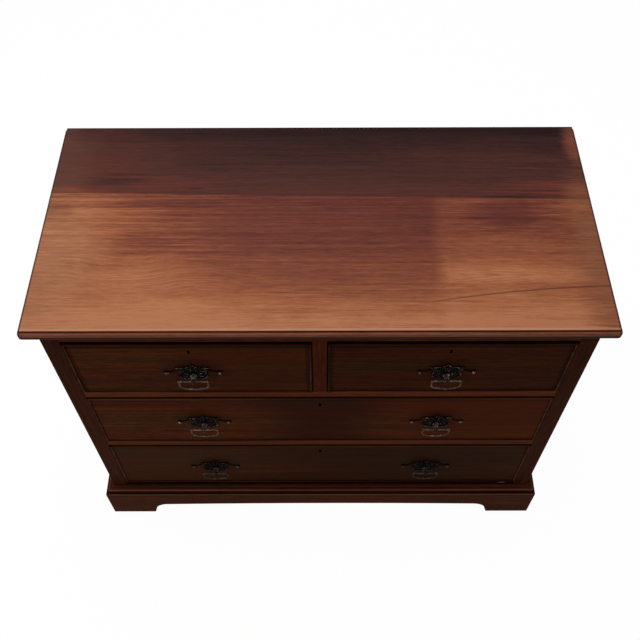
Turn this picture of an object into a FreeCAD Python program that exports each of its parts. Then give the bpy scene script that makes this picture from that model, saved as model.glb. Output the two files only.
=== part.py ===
import FreeCAD, Part
import Sketcher
import math
import os
from dataclasses import dataclass
from types import SimpleNamespace

# A chest with two short drawers over two long ones, a moulded top and a plinth on bracket feet.
# Millimetres, +Z up, the front towards -Y, the origin on the floor under the middle of the top.

SIZES = {
    # Top board: its widest line, then its moulded edge from the upper lip down
    "top_width": 1070,
    "top_depth": 525,
    "top_overhang": 24,
    "top_back_overhang": 8,
    "top_corner_radius": 8,
    "lip_height": 3,
    "quirk_width": 1.2,
    "thumb_width": 4.8,
    "thumb_height": 9,
    "edge_band_height": 5,
    "under_round": 3,
    # Case boards
    "side_thickness": 20,
    "stile_width": 34,
    "stile_depth": 22,
    "back_board_thickness": 12,
    "back_board_gap": 0.6,
    "back_rebate": 8,
    "bottom_board_thickness": 14,
    # Rails, from the top down, and the heights of the three rows between them
    "top_rail_height": 41,
    "screw_rail_height": 20,
    "screw_rail_depth": 70,
    "drawer_rail_height": 20,
    "drawer_rail_depth": 60,
    "divider_width": 27,
    "short_opening": 180,
    "upper_opening": 193,
    "lower_opening": 196,
    # Screws that hold the top down
    "screw_radius": 2.2,
    "screw_head_radius": 4.4,
    "screw_head_height": 3,
    "screw_bite": 12,
    # What the drawers run on
    "runner_width": 40,
    "centre_runner_width": 90,
    "guide_height": 18,
    "dust_board_thickness": 6,
    "dust_board_seat": 6,
    "stop_width": 40,
    "stop_length": 30,
    "stop_height": 5,
    "stop_gap": 0.3,
    # Plinth, its bracket feet and the moulding on it
    "plinth_height": 106,
    "plinth_lap": 40,
    "foot_width": 106,
    "foot_slant": 9,
    "foot_rise": 30,
    "cove_run": 31,
    "cove_rise": 17,
    "apron_arch": 5,
    "moulding_lip_width": 5,
    "moulding_quirk": 2,
    "moulding_round": 9,
    "moulding_setback": 5,
    "moulding_lip_height": 2,
    "moulding_foot_height": 3,
    "block_width": 50,
    # Drawer boxes and the room round them
    "drawer_side_gap": 1.5,
    "drawer_top_gap": 3,
    "short_top_gap": 5,
    "drawer_foot_gap": 1.2,
    "slide_gap": 0.3,
    "drawer_side_thickness": 10,
    "drawer_side_drop": 6,
    "drawer_back_thickness": 10,
    "drawer_back_drop": 10,
    "drawer_back_gap": 16,
    "drawer_bottom_thickness": 7,
    "drawer_bottom_raise": 10,
    "groove_depth": 5,
    "lap_web": 2,
    "bead_thickness": 4,
    "bead_seat": 7,
    "bead_projection": 3.5,
    # Locks
    "lock_width": 56,
    "lock_height": 42,
    "lock_wall": 2.7,
    "lock_cover": 3,
    "bolt_width": 26,
    "bolt_thickness": 5,
    "bolt_height": 20,
    "bolt_gap": 0.3,
    "bolt_travel": 10,
    "mortise_gap": 1,
    "key_drop": 27,
    "key_radius": 2.2,
    "key_slot_width": 2.4,
    "key_slot_length": 7,
    "escutcheon_rim": 1.2,
    "escutcheon_depth": 3,
    # Handles: plate with its rim and arms, nails, post and drop bail
    "long_handle_offset": 248,
    "short_handle_drop": 14,
    "upper_handle_drop": 6,
    "lower_handle_drop": 10,
    "plate_width": 66,
    "plate_rise": 31,
    "plate_fall": 29,
    "plate_thickness": 1.6,
    "rim_width": 2,
    "rim_height": 0.9,
    "arm_width": 3.6,
    "nail_spread": 104,
    "rosette_radius": 6,
    "boss_radius": 4.4,
    "nail_radius": 1.2,
    "nail_head_radius": 2.6,
    "nail_length": 9,
    "eye_reach": 16,
    "eye_fall": 9,
    "eye_radius": 4.6,
    "eye_gap": 0.3,
    "eye_tip_radius": 2.2,
    "post_radius": 3,
    "post_ring_radius": 4.4,
    "post_ring_thickness": 1.6,
    "collar_radius": 6.5,
    "collar_thickness": 2.4,
    "shank_radius": 2,
    "shank_end": 2,
    "nut_width": 10,
    "nut_thickness": 4,
    "bail_half_width": 28,
    "bail_drop": 28,
    "bail_corner_radius": 10,
    "bail_foot_radius": 60,
    "bail_bar_radius": 2,
    "bail_knob_radius": 2.6,
    "bail_bead_radius": 3.2,
    # How far cutting shapes run past what they cut
    "overrun": 5,
}

# Counts, and shares of the sizes that they follow
BACK_BOARD_COUNT = 6
FRONT_TAIL_COUNT = 4
BACK_TAIL_COUNT = 3
TAIL_WIDTH_SHARE = 0.72
TAIL_SLOPE_SHARE = 0.14
SCREW_PLACE_SHARES = (-0.7, -0.25, 0.25, 0.7)
STOP_PLACE_SHARE = 0.6
# The handle plate's right half, up from its point to its peak: across and up, and how far its edges bow
PLATE_LOWER_SHARES = ((0.36, -0.72), (0.88, -0.28))
PLATE_UPPER_SHARES = ((1, 0.55), (0.5, 0.63))
PLATE_BOW_SHARE = 0.72
ARM_BOW_SHARE = 1.2
ARM_ROOT_SHARE = 0.78
POST_RING_SHARES = (0.28, 0.5)

# Which way an edge bows on an outline that runs anticlockwise
ROUND = 1
HOLLOW = -1

X_AXIS = FreeCAD.Vector(1, 0, 0)
Y_AXIS = FreeCAD.Vector(0, 1, 0)
QUARTER_TURN = 90


class Size:
    """A length, kept as an expression of the sheet's cells and as the number that it has now."""

    def __init__(self, text, value):
        self.text = text
        self.value = value

    def __add__(self, other):
        other = as_size(other)
        return Size(f"({self.text} + {other.text})", self.value + other.value)

    def __sub__(self, other):
        other = as_size(other)
        return Size(f"({self.text} - {other.text})", self.value - other.value)

    def __mul__(self, other):
        other = as_size(other)
        return Size(f"({self.text} * {other.text})", self.value * other.value)

    def __truediv__(self, other):
        other = as_size(other)
        return Size(f"({self.text} / {other.text})", self.value / other.value)

    def __neg__(self):
        return Size(f"(0 - {self.text})", -self.value)


def as_size(number):
    return number if isinstance(number, Size) else Size(str(number), float(number))


def straight_between(across, up):
    """The length of the straight line with these two legs."""
    return Size(f"sqrt({across.text}^2 + {up.text}^2)", math.hypot(across.value, up.value))


def other_leg(straight, leg):
    """The second leg of a right-angled corner, from the straight line across it and the first leg."""
    return Size(f"sqrt({straight.text}^2 - {leg.text}^2)", math.sqrt(straight.value ** 2 - leg.value ** 2))


def arc_radius(width, rise):
    """The radius of an arc that leaves level and rises this far over this width."""
    straight = straight_between(width, rise)
    return straight * straight / (rise * 2)


def make_sheet(document):
    sheet = document.addObject("Spreadsheet::Sheet", "Sizes")
    for row, (alias, number) in enumerate(SIZES.items(), start=1):
        sheet.set(f"A{row}", alias)
        sheet.set(f"B{row}", str(number))
        sheet.setAlias(f"B{row}", alias)
    document.recompute()
    return SimpleNamespace(**{alias: Size(f"Sizes.{alias}", float(sheet.get(alias))) for alias in SIZES})


doc = FreeCAD.newDocument("ChestOfDrawers")
s = make_sheet(doc)
nodes = {}


# Shapes that every piece is made from

def new(kind):
    return doc.addObject(kind, kind.split("::")[1])


def node(label, piece):
    piece.Label = label
    nodes[label] = piece
    return piece


def place(piece, corner):
    for axis, value in zip("xyz", corner):
        piece.setExpression(f"Placement.Base.{axis}", as_size(value).text)
    return piece


def turn(piece, axis):
    piece.Placement = FreeCAD.Placement(FreeCAD.Vector(), FreeCAD.Rotation(axis, QUARTER_TURN))
    return piece


def box(corner, far_corner):
    """A board between two opposite corners, the lower one first."""
    board = new("Part::Box")
    for length, low, high in zip(("Length", "Width", "Height"), corner, far_corner):
        board.setExpression(length, (as_size(high) - low).text)
    return place(board, corner)


def rod(start, radius, length, axis=None):
    """A round rod that leaves its start upwards, or along -Y or +X when it is turned about that axis."""
    piece = new("Part::Cylinder")
    piece.setExpression("Radius", radius.text)
    piece.setExpression("Height", length.text)
    if axis is not None:
        turn(piece, axis)
    return place(piece, start)


def ball(centre, radius, axis=None):
    """A ball with its poles upright, or along the third direction when it is turned about an axis."""
    piece = new("Part::Sphere")
    piece.setExpression("Radius", radius.text)
    if axis is not None:
        turn(piece, axis)
    return place(piece, centre)


def cut(base, *tools):
    for tool in tools:
        step = new("Part::Cut")
        step.Base = base
        step.Tool = tool
        base = step
    return base


def common(first, second):
    piece = new("Part::Common")
    piece.Base = first
    piece.Tool = second
    return piece


def fuse(*pieces):
    whole = new("Part::MultiFuse")
    whole.Shapes = list(pieces)
    whole.Refine = True
    return whole


def group(pieces):
    """Separate solids that share one node."""
    together = new("Part::Compound")
    together.Links = list(pieces)
    return together


def arc_centre(start, end, radius, bow):
    """The centre of an arc, left of its line of travel where it is round and right where it is hollow."""
    across = end - start
    side = FreeCAD.Vector(-across.y, across.x, 0)
    side.normalize()
    reach = math.sqrt(max(radius ** 2 - (across.Length / 2) ** 2, 0))
    return (start + end) / 2 + side * bow * reach


def draw_edge(sketch, start, corner):
    """One edge of an outline, with the numbers of its first and last points."""
    end = FreeCAD.Vector(as_size(corner[0]).value, as_size(corner[1]).value, 0)
    if len(corner) == 2:
        sketch.addGeometry(Part.LineSegment(start, end))
        return end, 1, 2
    radius, bow = corner[2], corner[3]
    centre = arc_centre(start, end, radius.value, bow)
    first, last = (start, end) if bow == ROUND else (end, start)
    angles = [math.atan2(point.y - centre.y, point.x - centre.x) for point in (first, last)]
    circle = Part.Circle(centre, FreeCAD.Vector(0, 0, 1), radius.value)
    edge = sketch.addGeometry(Part.ArcOfCircle(circle, *angles))
    rule = sketch.addConstraint(Sketcher.Constraint("Radius", edge, radius.value))
    sketch.setExpression(f"Constraints[{rule}]", radius.text)
    return end, *((1, 2) if bow == ROUND else (2, 1))


def pin(sketch, edge, point, corner):
    """Holds one end of an edge at a corner's two distances from the origin."""
    for direction, value in zip(("DistanceX", "DistanceY"), corner):
        value = as_size(value)
        rule = sketch.addConstraint(Sketcher.Constraint(direction, -1, 1, edge, point, value.value))
        sketch.setExpression(f"Constraints[{rule}]", value.text)


def draw(sketch, corners, closed=True):
    """A line through corners (across, up), with (radius, bow) added where an arc leads to one."""
    begin, run = (corners[-1], corners) if closed else (corners[0], corners[1:])
    start = FreeCAD.Vector(as_size(begin[0]).value, as_size(begin[1]).value, 0)
    ends = []
    for corner in run:
        start, first, last = draw_edge(sketch, start, corner)
        ends.append((first, last))
    for edge, corner in enumerate(run):
        last = ends[edge][1]
        pin(sketch, edge, last, corner)
        following = (edge + 1) % len(run)
        if closed or following > edge:
            sketch.addConstraint(Sketcher.Constraint("Coincident", edge, last, following, ends[following][0]))
    if not closed:
        pin(sketch, 0, ends[0][0], begin)


def pad(plane, outline, length, corner=(0, 0, 0)):
    """An outline made solid: up from XY_Plane, towards -Y from XZ_Plane, towards +X from YZ_Plane."""
    body = new("PartDesign::Body")
    sketch = body.newObject("Sketcher::SketchObject", "Outline")
    support = next(feature for feature in body.Origin.OriginFeatures if feature.Role == plane)
    sketch.AttachmentSupport = (support, [""])
    sketch.MapMode = "FlatFace"
    draw(sketch, outline)
    solid = body.newObject("PartDesign::Pad", "Pad")
    solid.Profile = sketch
    solid.setExpression("Length", length.text)
    return place(body, corner)


def sweep(section, path):
    """A section carried along a line."""
    solid = new("Part::Sweep")
    solid.Sections = [section]
    solid.Spine = (path, [])
    solid.Solid = True
    return solid


def turned_over(outline):
    """A flipped outline in the opposite order, so that it runs anticlockwise again with its arcs in place."""
    arcs = [corner[2:] for corner in outline]
    corners = [(*corner[:2], *arc) for corner, arc in zip(outline, arcs[1:] + arcs[:1])]
    return corners[::-1]


def mirrored(outline):
    """The same outline on the other side of its upright axis."""
    return turned_over([(-as_size(across), up, *arc) for across, up, *arc in outline])


def transposed(outline):
    """The same outline with its two directions exchanged."""
    return turned_over([(up, across, *arc) for across, up, *arc in outline])


# Planes and levels that several pieces share

top_thickness = s.lip_height + s.thumb_height + s.edge_band_height + s.under_round
moulding_height = s.moulding_lip_height + s.moulding_round + s.moulding_foot_height
moulding_reach = s.moulding_lip_width + s.moulding_quirk + s.moulding_round
plinth_thickness = moulding_reach + s.moulding_setback
lock_depth = s.bolt_thickness + s.bolt_gap * 2 + s.lock_wall * 2
front_thickness = s.bead_seat + s.lock_cover + lock_depth

case_half = s.top_width / 2 - s.top_overhang
side_inner = case_half - s.side_thickness
opening_half = case_half - s.stile_width
runner_inner = side_inner - s.runner_width
plinth_half = case_half + plinth_thickness

case_front = s.top_overhang - s.top_depth / 2
case_back = s.top_depth / 2 - s.top_back_overhang
plinth_front_face = case_front - plinth_thickness
behind_stile = case_front + s.stile_depth
behind_rail = case_front + s.drawer_rail_depth
behind_front = case_front + front_thickness
back_inner = case_back - s.back_board_thickness
drawer_end = back_inner - s.drawer_back_gap

side_foot = s.plinth_height - s.plinth_lap
bottom_rail_base = s.plinth_height + moulding_height
lower_floor = bottom_rail_base + s.drawer_rail_height
lower_rail_base = lower_floor + s.lower_opening
upper_floor = lower_rail_base + s.drawer_rail_height
upper_rail_base = upper_floor + s.upper_opening
short_floor = upper_rail_base + s.drawer_rail_height
top_rail_base = short_floor + s.short_opening
top_base = top_rail_base + s.top_rail_height
screw_rail_base = top_base - s.screw_rail_height
top_face = top_base + top_thickness


@dataclass
class Drawer:
    """Where one drawer goes: its opening, the gap over it, and its handles by the end of their names."""

    name: str
    centre: Size
    half_opening: Size
    floor: Size
    opening: Size
    top_gap: Size
    handle_drop: Size
    handles: dict

    @property
    def left(self):
        return self.centre - self.half_opening + s.drawer_side_gap

    @property
    def right(self):
        return self.centre + self.half_opening - s.drawer_side_gap

    @property
    def front_base(self):
        return self.floor + s.drawer_foot_gap

    @property
    def front_top(self):
        return self.floor + self.opening - self.top_gap

    @property
    def side_base(self):
        return self.floor + s.slide_gap

    @property
    def side_top(self):
        return self.front_top - s.drawer_side_drop

    @property
    def bottom_top(self):
        return self.side_base + s.drawer_bottom_raise + s.drawer_bottom_thickness

    @property
    def nail_line(self):
        return self.floor + self.opening / 2 - self.handle_drop

    @property
    def key_height(self):
        return self.front_top - s.key_drop


def plan_drawers():
    half = (opening_half - s.divider_width / 2) / 2
    middle = s.divider_width / 2 + half
    zero = as_size(0)
    pair = {"_left": -s.long_handle_offset, "_right": s.long_handle_offset}
    return [
        Drawer("short_drawer_left", -middle, half, short_floor, s.short_opening, s.short_top_gap,
               s.short_handle_drop, {"": -middle}),
        Drawer("short_drawer_right", middle, half, short_floor, s.short_opening, s.short_top_gap,
               s.short_handle_drop, {"": middle}),
        Drawer("upper_long_drawer", zero, opening_half, upper_floor, s.upper_opening, s.drawer_top_gap,
               s.upper_handle_drop, pair),
        Drawer("lower_long_drawer", zero, opening_half, lower_floor, s.lower_opening, s.drawer_top_gap,
               s.lower_handle_drop, pair),
    ]


# Case

def make_top_screws():
    """Screws that rise through the flat rails into the top."""
    screws = []
    length = s.screw_rail_height + s.screw_bite
    for line in (behind_stile + s.screw_rail_depth / 2, back_inner - s.screw_rail_depth / 2):
        for share in SCREW_PLACE_SHARES:
            spot = (side_inner * share, line, screw_rail_base)
            head = new("Part::Cone")
            head.setExpression("Radius1", s.screw_head_radius.text)
            head.setExpression("Radius2", s.screw_radius.text)
            head.setExpression("Height", s.screw_head_height.text)
            screws.append(fuse(place(head, spot), rod(spot, s.screw_radius, length)))
    return node("top_screws", group(screws))


def edge_waste():
    """What lies outside the top's moulded edge at the left end: lip, quirk, thumb and under-round."""
    widest = -s.top_width / 2
    lip = widest + s.quirk_width + s.thumb_width
    lip_foot = top_face - s.lip_height
    thumb_foot = lip_foot - s.thumb_height
    thumb_radius = arc_radius(s.thumb_height, s.thumb_width)
    clear = widest - s.overrun
    return [
        (clear, top_base - s.overrun),
        (widest + s.under_round, top_base - s.overrun),
        (widest + s.under_round, top_base),
        (widest, top_base + s.under_round, s.under_round, HOLLOW),
        (widest, thumb_foot),
        (widest + s.thumb_width, lip_foot, thumb_radius, HOLLOW),
        (lip, lip_foot),
        (lip, top_face + s.overrun),
        (clear, top_face + s.overrun),
    ]


def edge_path():
    """The line that the moulded edge follows: along the left end, across the front, along the right end."""
    half = s.top_width / 2
    front = -s.top_depth / 2
    back = s.top_depth / 2
    radius = s.top_corner_radius
    return [
        (-half, back),
        (-half, front + radius),
        (radius - half, front, radius, ROUND),
        (half - radius, front),
        (half, front + radius, radius, ROUND),
        (half, back),
    ]


def top_outline():
    half = s.top_width / 2
    back = s.top_depth / 2
    radius = s.top_corner_radius
    sides = edge_path()[1:-1]
    return sides + [(half, back - radius), (half - radius, back, radius, ROUND),
                    (radius - half, back), (-half, back - radius, radius, ROUND)]


def make_top_board(screws):
    """The top, square at the back and moulded on its other three edges."""
    path = new("Sketcher::SketchObject")
    draw(path, edge_path(), closed=False)
    section = turn(new("Sketcher::SketchObject"), X_AXIS)
    draw(section, edge_waste())
    place(section, (0, s.top_depth / 2, 0))
    slab = pad("XY_Plane", top_outline(), top_thickness, (0, 0, top_base))
    return node("top_board", cut(slab, sweep(section, path), screws))


def make_sides():
    """Side boards behind the stiles, rebated for the back."""
    for label, inner, outer, rebate in (
        ("side_left", -side_inner, -case_half, -s.back_rebate),
        ("side_right", side_inner, case_half, s.back_rebate),
    ):
        low, high = sorted((inner, outer), key=lambda size: size.value)
        board = box((low, behind_stile, side_foot), (high, case_back, top_base))
        low, high = sorted((inner, inner + rebate), key=lambda size: size.value)
        seat = box((low, back_inner, side_foot), (high, case_back, top_base))
        node(label, cut(board, seat))


def make_stiles():
    stiles = [box((low, case_front, side_foot), (high, behind_stile, top_base))
              for low, high in ((-case_half, -opening_half), (opening_half, case_half))]
    node("front_stiles", group(stiles))


def make_back_boards():
    """Upright boards side by side in the rebates of the sides."""
    left = -side_inner - s.back_rebate
    pitch = (side_inner * 2 + s.back_rebate * 2 + s.back_board_gap) / BACK_BOARD_COUNT
    boards = []
    for index in range(BACK_BOARD_COUNT):
        start = left + pitch * index
        end = start + pitch - s.back_board_gap
        boards.append(box((start, back_inner, side_foot), (end, case_back, top_base)))
    node("back_boards", group(boards))


def rail(back, base):
    """A flat rail that fits between the stiles in front and between the sides behind them."""
    outline = [
        (-opening_half, case_front),
        (opening_half, case_front),
        (opening_half, behind_stile),
        (side_inner, behind_stile),
        (side_inner, back),
        (-side_inner, back),
        (-side_inner, behind_stile),
        (-opening_half, behind_stile),
    ]
    return pad("XY_Plane", outline, s.drawer_rail_height, (0, 0, base))


def bolt_line():
    """Half way through the lock, where its bolt slides."""
    return behind_front - lock_depth / 2


def bolt_mortise(drawer):
    """The hole that a drawer's bolt rises into, in the rail above it."""
    half_width = s.bolt_width / 2 + s.mortise_gap
    half_thickness = s.bolt_thickness / 2 + s.mortise_gap
    ceiling = drawer.floor + drawer.opening
    return box((drawer.centre - half_width, bolt_line() - half_thickness, ceiling - s.overrun),
               (drawer.centre + half_width, bolt_line() + half_thickness,
                drawer.front_top + s.bolt_travel + s.mortise_gap))


def make_rails(drawers, dust_boards, screws):
    """Drawer rails, the upright rail under the top and the two flat rails that the top is screwed to."""
    short_left, short_right, upper_long, lower_long = drawers
    upper = cut(rail(behind_rail, upper_rail_base), bolt_mortise(upper_long), dust_boards)
    lower = cut(rail(behind_rail, lower_rail_base), bolt_mortise(lower_long), dust_boards)
    node("drawer_rails", group([upper, lower]))
    node("bottom_rail", rail(behind_rail, bottom_rail_base))
    upright = box((-opening_half, case_front, top_rail_base), (opening_half, behind_stile, top_base))
    upright = cut(upright, bolt_mortise(short_left), bolt_mortise(short_right))
    flat_rails = []
    for start in (behind_stile, back_inner - s.screw_rail_depth):
        flat = box((-side_inner, start, screw_rail_base), (side_inner, start + s.screw_rail_depth, top_base))
        flat_rails.append(cut(flat, screws))
    node("top_rails", group([upright, *flat_rails]))


def make_divider():
    half = s.divider_width / 2
    node("centre_divider", box((-half, case_front, short_floor), (half, behind_rail, top_rail_base)))


def make_bottom_board():
    base = lower_floor - s.bottom_board_thickness
    node("bottom_board", box((-side_inner, behind_rail, base), (side_inner, back_inner, lower_floor)))


def make_dust_boards():
    """Thin boards that close each row off from the one below, let into the rails and runners."""
    front = behind_rail - s.dust_board_seat
    left = -runner_inner - s.dust_board_seat
    right = runner_inner + s.dust_board_seat
    inner = s.centre_runner_width / 2 - s.dust_board_seat
    lift = (s.drawer_rail_height - s.dust_board_thickness) / 2
    boards = []
    for start, end, level in (
        (left, -inner, upper_rail_base),
        (inner, right, upper_rail_base),
        (left, right, lower_rail_base),
    ):
        base = level + lift
        boards.append(box((start, front, base), (end, back_inner, base + s.dust_board_thickness)))
    return node("dust_boards", group(boards))


def make_runners(dust_boards):
    """Strips behind the rails that the drawer sides slide on, with a wide one between the short drawers."""
    half = s.centre_runner_width / 2
    runners = []
    for start, end, level in (
        (-side_inner, -runner_inner, upper_rail_base),
        (runner_inner, side_inner, upper_rail_base),
        (-half, half, upper_rail_base),
        (-side_inner, -runner_inner, lower_rail_base),
        (runner_inner, side_inner, lower_rail_base),
    ):
        strip = box((start, behind_rail, level), (end, back_inner, level + s.drawer_rail_height))
        runners.append(cut(strip, dust_boards))
    node("drawer_runners", group(runners))


def make_guides():
    """Strips beside the drawers, level with the stiles, and one behind the upright."""
    guides = []
    for level in (lower_floor, upper_floor, short_floor):
        for start, end in ((-side_inner, -opening_half), (opening_half, side_inner)):
            guides.append(box((start, behind_stile, level), (end, back_inner, level + s.guide_height)))
    half = s.divider_width / 2
    guides.append(box((-half, behind_rail, short_floor), (half, back_inner, short_floor + s.guide_height)))
    node("drawer_guides", group(guides))


def make_kickers():
    """Strips over the short drawers that stop them tipping."""
    half = s.centre_runner_width / 2
    kickers = [box((start, behind_stile, top_rail_base), (end, back_inner, screw_rail_base))
               for start, end in ((-side_inner, -runner_inner), (-half, half), (runner_inner, side_inner))]
    node("drawer_kickers", group(kickers))


def make_stops(drawers):
    """Blocks on the rails that each drawer front comes home against."""
    start = behind_front + s.stop_gap
    stops = []
    for drawer in drawers:
        for share in (-STOP_PLACE_SHARE, STOP_PLACE_SHARE):
            left = drawer.centre + drawer.half_opening * share - s.stop_width / 2
            stops.append(box((left, start, drawer.floor),
                             (left + s.stop_width, start + s.stop_length, drawer.floor + s.stop_height)))
    node("drawer_stops", group(stops))


# Plinth

def mitred_plan(outline):
    """A length of plinth and moulding seen from above, with its mitred end or ends."""
    return pad("XY_Plane", outline, bottom_rail_base)


def apron_outline(start, end):
    """A plinth board from the front of it: two bracket feet with a shallow arch between them."""
    cove_radius = arc_radius(s.cove_run, s.cove_rise)
    apron = s.foot_rise + s.cove_rise
    foot_end = start + s.foot_width
    foot_start = end - s.foot_width
    arch_start = foot_end + s.foot_slant + s.cove_run
    arch_end = foot_start - s.foot_slant - s.cove_run
    arch_radius = arc_radius((arch_end - arch_start) / 2, s.apron_arch)
    return [
        (start, 0),
        (foot_end, 0),
        (foot_end + s.foot_slant, s.foot_rise),
        (arch_start, apron, cove_radius, HOLLOW),
        (arch_end, apron, arch_radius, HOLLOW),
        (foot_start - s.foot_slant, s.foot_rise, cove_radius, HOLLOW),
        (foot_start, 0),
        (end, 0),
        (end, s.plinth_height),
        (start, s.plinth_height),
    ]


def moulding_outline(face):
    """The base moulding in section, outwards from the case: foot, round, quirk and lip."""
    round_top = s.plinth_height + s.moulding_foot_height + s.moulding_round
    return [
        (face, s.plinth_height),
        (face + moulding_reach, s.plinth_height),
        (face + moulding_reach, s.plinth_height + s.moulding_foot_height),
        (face + moulding_reach - s.moulding_round, round_top, s.moulding_round, ROUND),
        (face + s.moulding_lip_width, round_top),
        (face + s.moulding_lip_width, bottom_rail_base),
        (face, bottom_rail_base),
    ]


def make_plinth():
    """Plinth boards and base moulding, mitred at the two front corners."""
    front_plan = mitred_plan([
        (-plinth_half, plinth_front_face),
        (plinth_half, plinth_front_face),
        (case_half, case_front),
        (-case_half, case_front),
    ])
    right_outline = [
        (case_half, case_front),
        (plinth_half, plinth_front_face),
        (plinth_half, case_back),
        (case_half, case_back),
    ]
    right_plan = mitred_plan(right_outline)
    left_plan = mitred_plan(mirrored(right_outline))

    front = pad("XZ_Plane", apron_outline(-plinth_half, plinth_half), plinth_thickness, (0, case_front, 0))
    node("plinth_front", common(front, front_plan))
    flank = apron_outline(plinth_front_face, case_back)
    left = pad("YZ_Plane", flank, plinth_thickness, (-plinth_half, 0, 0))
    right = pad("YZ_Plane", flank, plinth_thickness, (case_half, 0, 0))
    node("plinth_sides", group([common(left, left_plan), common(right, right_plan)]))

    across = pad("YZ_Plane", mirrored(moulding_outline(-case_front)), plinth_half * 2, (-plinth_half, 0, 0))
    return_length = case_back - plinth_front_face
    end = (0, case_back, 0)
    right = pad("XZ_Plane", moulding_outline(case_half), return_length, end)
    left = pad("XZ_Plane", mirrored(moulding_outline(case_half)), return_length, end)
    node("base_moulding", group([
        common(across, front_plan), common(left, left_plan), common(right, right_plan)]))


def make_base_rails():
    """Rails on edge under the bottom rail in front and under the bottom board behind."""
    under_board = lower_floor - s.bottom_board_thickness
    front = box((-opening_half, case_front, side_foot), (opening_half, behind_stile, bottom_rail_base))
    back = box((-side_inner, back_inner - s.stile_depth, side_foot), (side_inner, back_inner, under_board))
    node("base_rails", group([front, back]))


def make_corner_blocks():
    """Blocks in the corners of the plinth that carry the stiles and sides."""
    blocks = []
    for x in (-case_half, case_half - s.block_width):
        for y in (case_front, case_back - s.block_width):
            blocks.append(box((x, y, 0), (x + s.block_width, y + s.block_width, side_foot)))
    node("corner_blocks", group(blocks))


# Drawers

def tails(shoulder, end, base, top, count):
    """The edge of a side that is cut into dovetails, from its base up."""
    pitch = (top - base) / count
    half_end = pitch * TAIL_WIDTH_SHARE / 2
    flare = Size(f"abs({(end - shoulder).text})", abs(end.value - shoulder.value)) * TAIL_SLOPE_SHARE
    half_root = half_end - flare
    points = []
    for index in range(count):
        middle = base + pitch * index + pitch / 2
        points += [
            (shoulder, middle - half_root),
            (end, middle - half_end),
            (end, middle + half_end),
            (shoulder, middle + half_root),
        ]
    return points


def back_span(drawer):
    """The lower and upper edges of a drawer's back."""
    return drawer.bottom_top, drawer.side_top - s.drawer_back_drop


def side_outline(drawer):
    """A drawer side, with tails into the front and through tails at the back."""
    lap = case_front + s.bead_seat + s.lap_web
    back_shoulder = drawer_end - s.drawer_back_thickness
    back_base, back_top = back_span(drawer)
    front_edge = tails(behind_front, lap, drawer.side_base, drawer.side_top, FRONT_TAIL_COUNT)
    back_edge = tails(back_shoulder, drawer_end, back_base, back_top, BACK_TAIL_COUNT)
    return [
        (behind_front, drawer.side_base),
        (drawer_end, drawer.side_base),
        (drawer_end, back_base),
        (back_shoulder, back_base),
        *back_edge,
        (back_shoulder, back_top),
        (drawer_end, back_top),
        (drawer_end, drawer.side_top),
        (behind_front, drawer.side_top),
        *front_edge[::-1],
    ]


def make_drawer_box(drawer):
    """Bottom, dovetailed sides and back of a drawer."""
    base = drawer.side_base + s.drawer_bottom_raise
    inset = s.drawer_side_thickness - s.groove_depth
    bottom = box((drawer.left + inset, behind_front - s.groove_depth, base),
                 (drawer.right - inset, drawer_end, drawer.bottom_top))
    node(f"{drawer.name}_bottom", bottom)
    outline = side_outline(drawer)
    thickness = s.drawer_side_thickness
    sides = [cut(pad("YZ_Plane", outline, thickness, (start, 0, 0)), bottom)
             for start in (drawer.left, drawer.right - thickness)]
    sides = node(f"{drawer.name}_sides", group(sides))
    back_base, back_top = back_span(drawer)
    back = box((drawer.left, drawer_end - s.drawer_back_thickness, back_base),
               (drawer.right, drawer_end, back_top))
    node(f"{drawer.name}_back", cut(back, sides))
    return bottom, sides


def bead_section(edge, inward):
    """A bead in section on a drawer front's edge: seated in its rebate, with a round nose."""
    nose = s.bead_thickness / 2
    nose_line = case_front - s.bead_projection + nose
    seat = case_front + s.bead_seat
    inner = edge + s.bead_thickness * inward
    low, high = sorted((edge, inner), key=lambda size: size.value)
    return [
        (seat, low),
        (seat, high),
        (nose_line, high),
        (nose_line - nose, low + nose, nose, ROUND),
        (nose_line, low, nose, ROUND),
    ]


def make_cock_bead(drawer):
    """Four mitred lengths of bead round a drawer front."""
    left, right, base, top = drawer.left, drawer.right, drawer.front_base, drawer.front_top
    bead = s.bead_thickness
    seat = case_front + s.bead_seat
    depth = s.bead_seat + s.bead_projection
    corners = [(left, base), (right, base), (right, top), (left, top)]
    inner_corners = [(left + bead, base + bead), (right - bead, base + bead),
                     (right - bead, top - bead), (left + bead, top - bead)]
    lengths = []
    for index in range(len(corners)):
        following = (index + 1) % len(corners)
        face = [corners[index], corners[following], inner_corners[following], inner_corners[index]]
        mitred = pad("XZ_Plane", face, depth, (0, seat, 0))
        lengths.append(mitred)
    across = [pad("YZ_Plane", bead_section(edge, inward), right - left, (left, 0, 0))
              for edge, inward in ((base, 1), (top, -1))]
    upright = [pad("XY_Plane", transposed(bead_section(edge, inward)), top - base, (0, 0, base))
               for edge, inward in ((right, -1), (left, 1))]
    strips = (across[0], upright[0], across[1], upright[1])
    beads = [common(strip, mitred) for strip, mitred in zip(strips, lengths)]
    node(f"{drawer.name}_cock_bead", group(beads))


def key_shape(drawer, rim, start, end):
    """A keyhole between two depths, wider all round by a rim."""
    radius = s.key_radius + rim
    half = s.key_slot_width / 2 + rim
    bow = rod((drawer.centre, end, drawer.key_height), radius, end - start, X_AXIS)
    slot = box((drawer.centre - half, start, drawer.key_height - s.key_slot_length - rim),
               (drawer.centre + half, end, drawer.key_height))
    return fuse(bow, slot)


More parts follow.
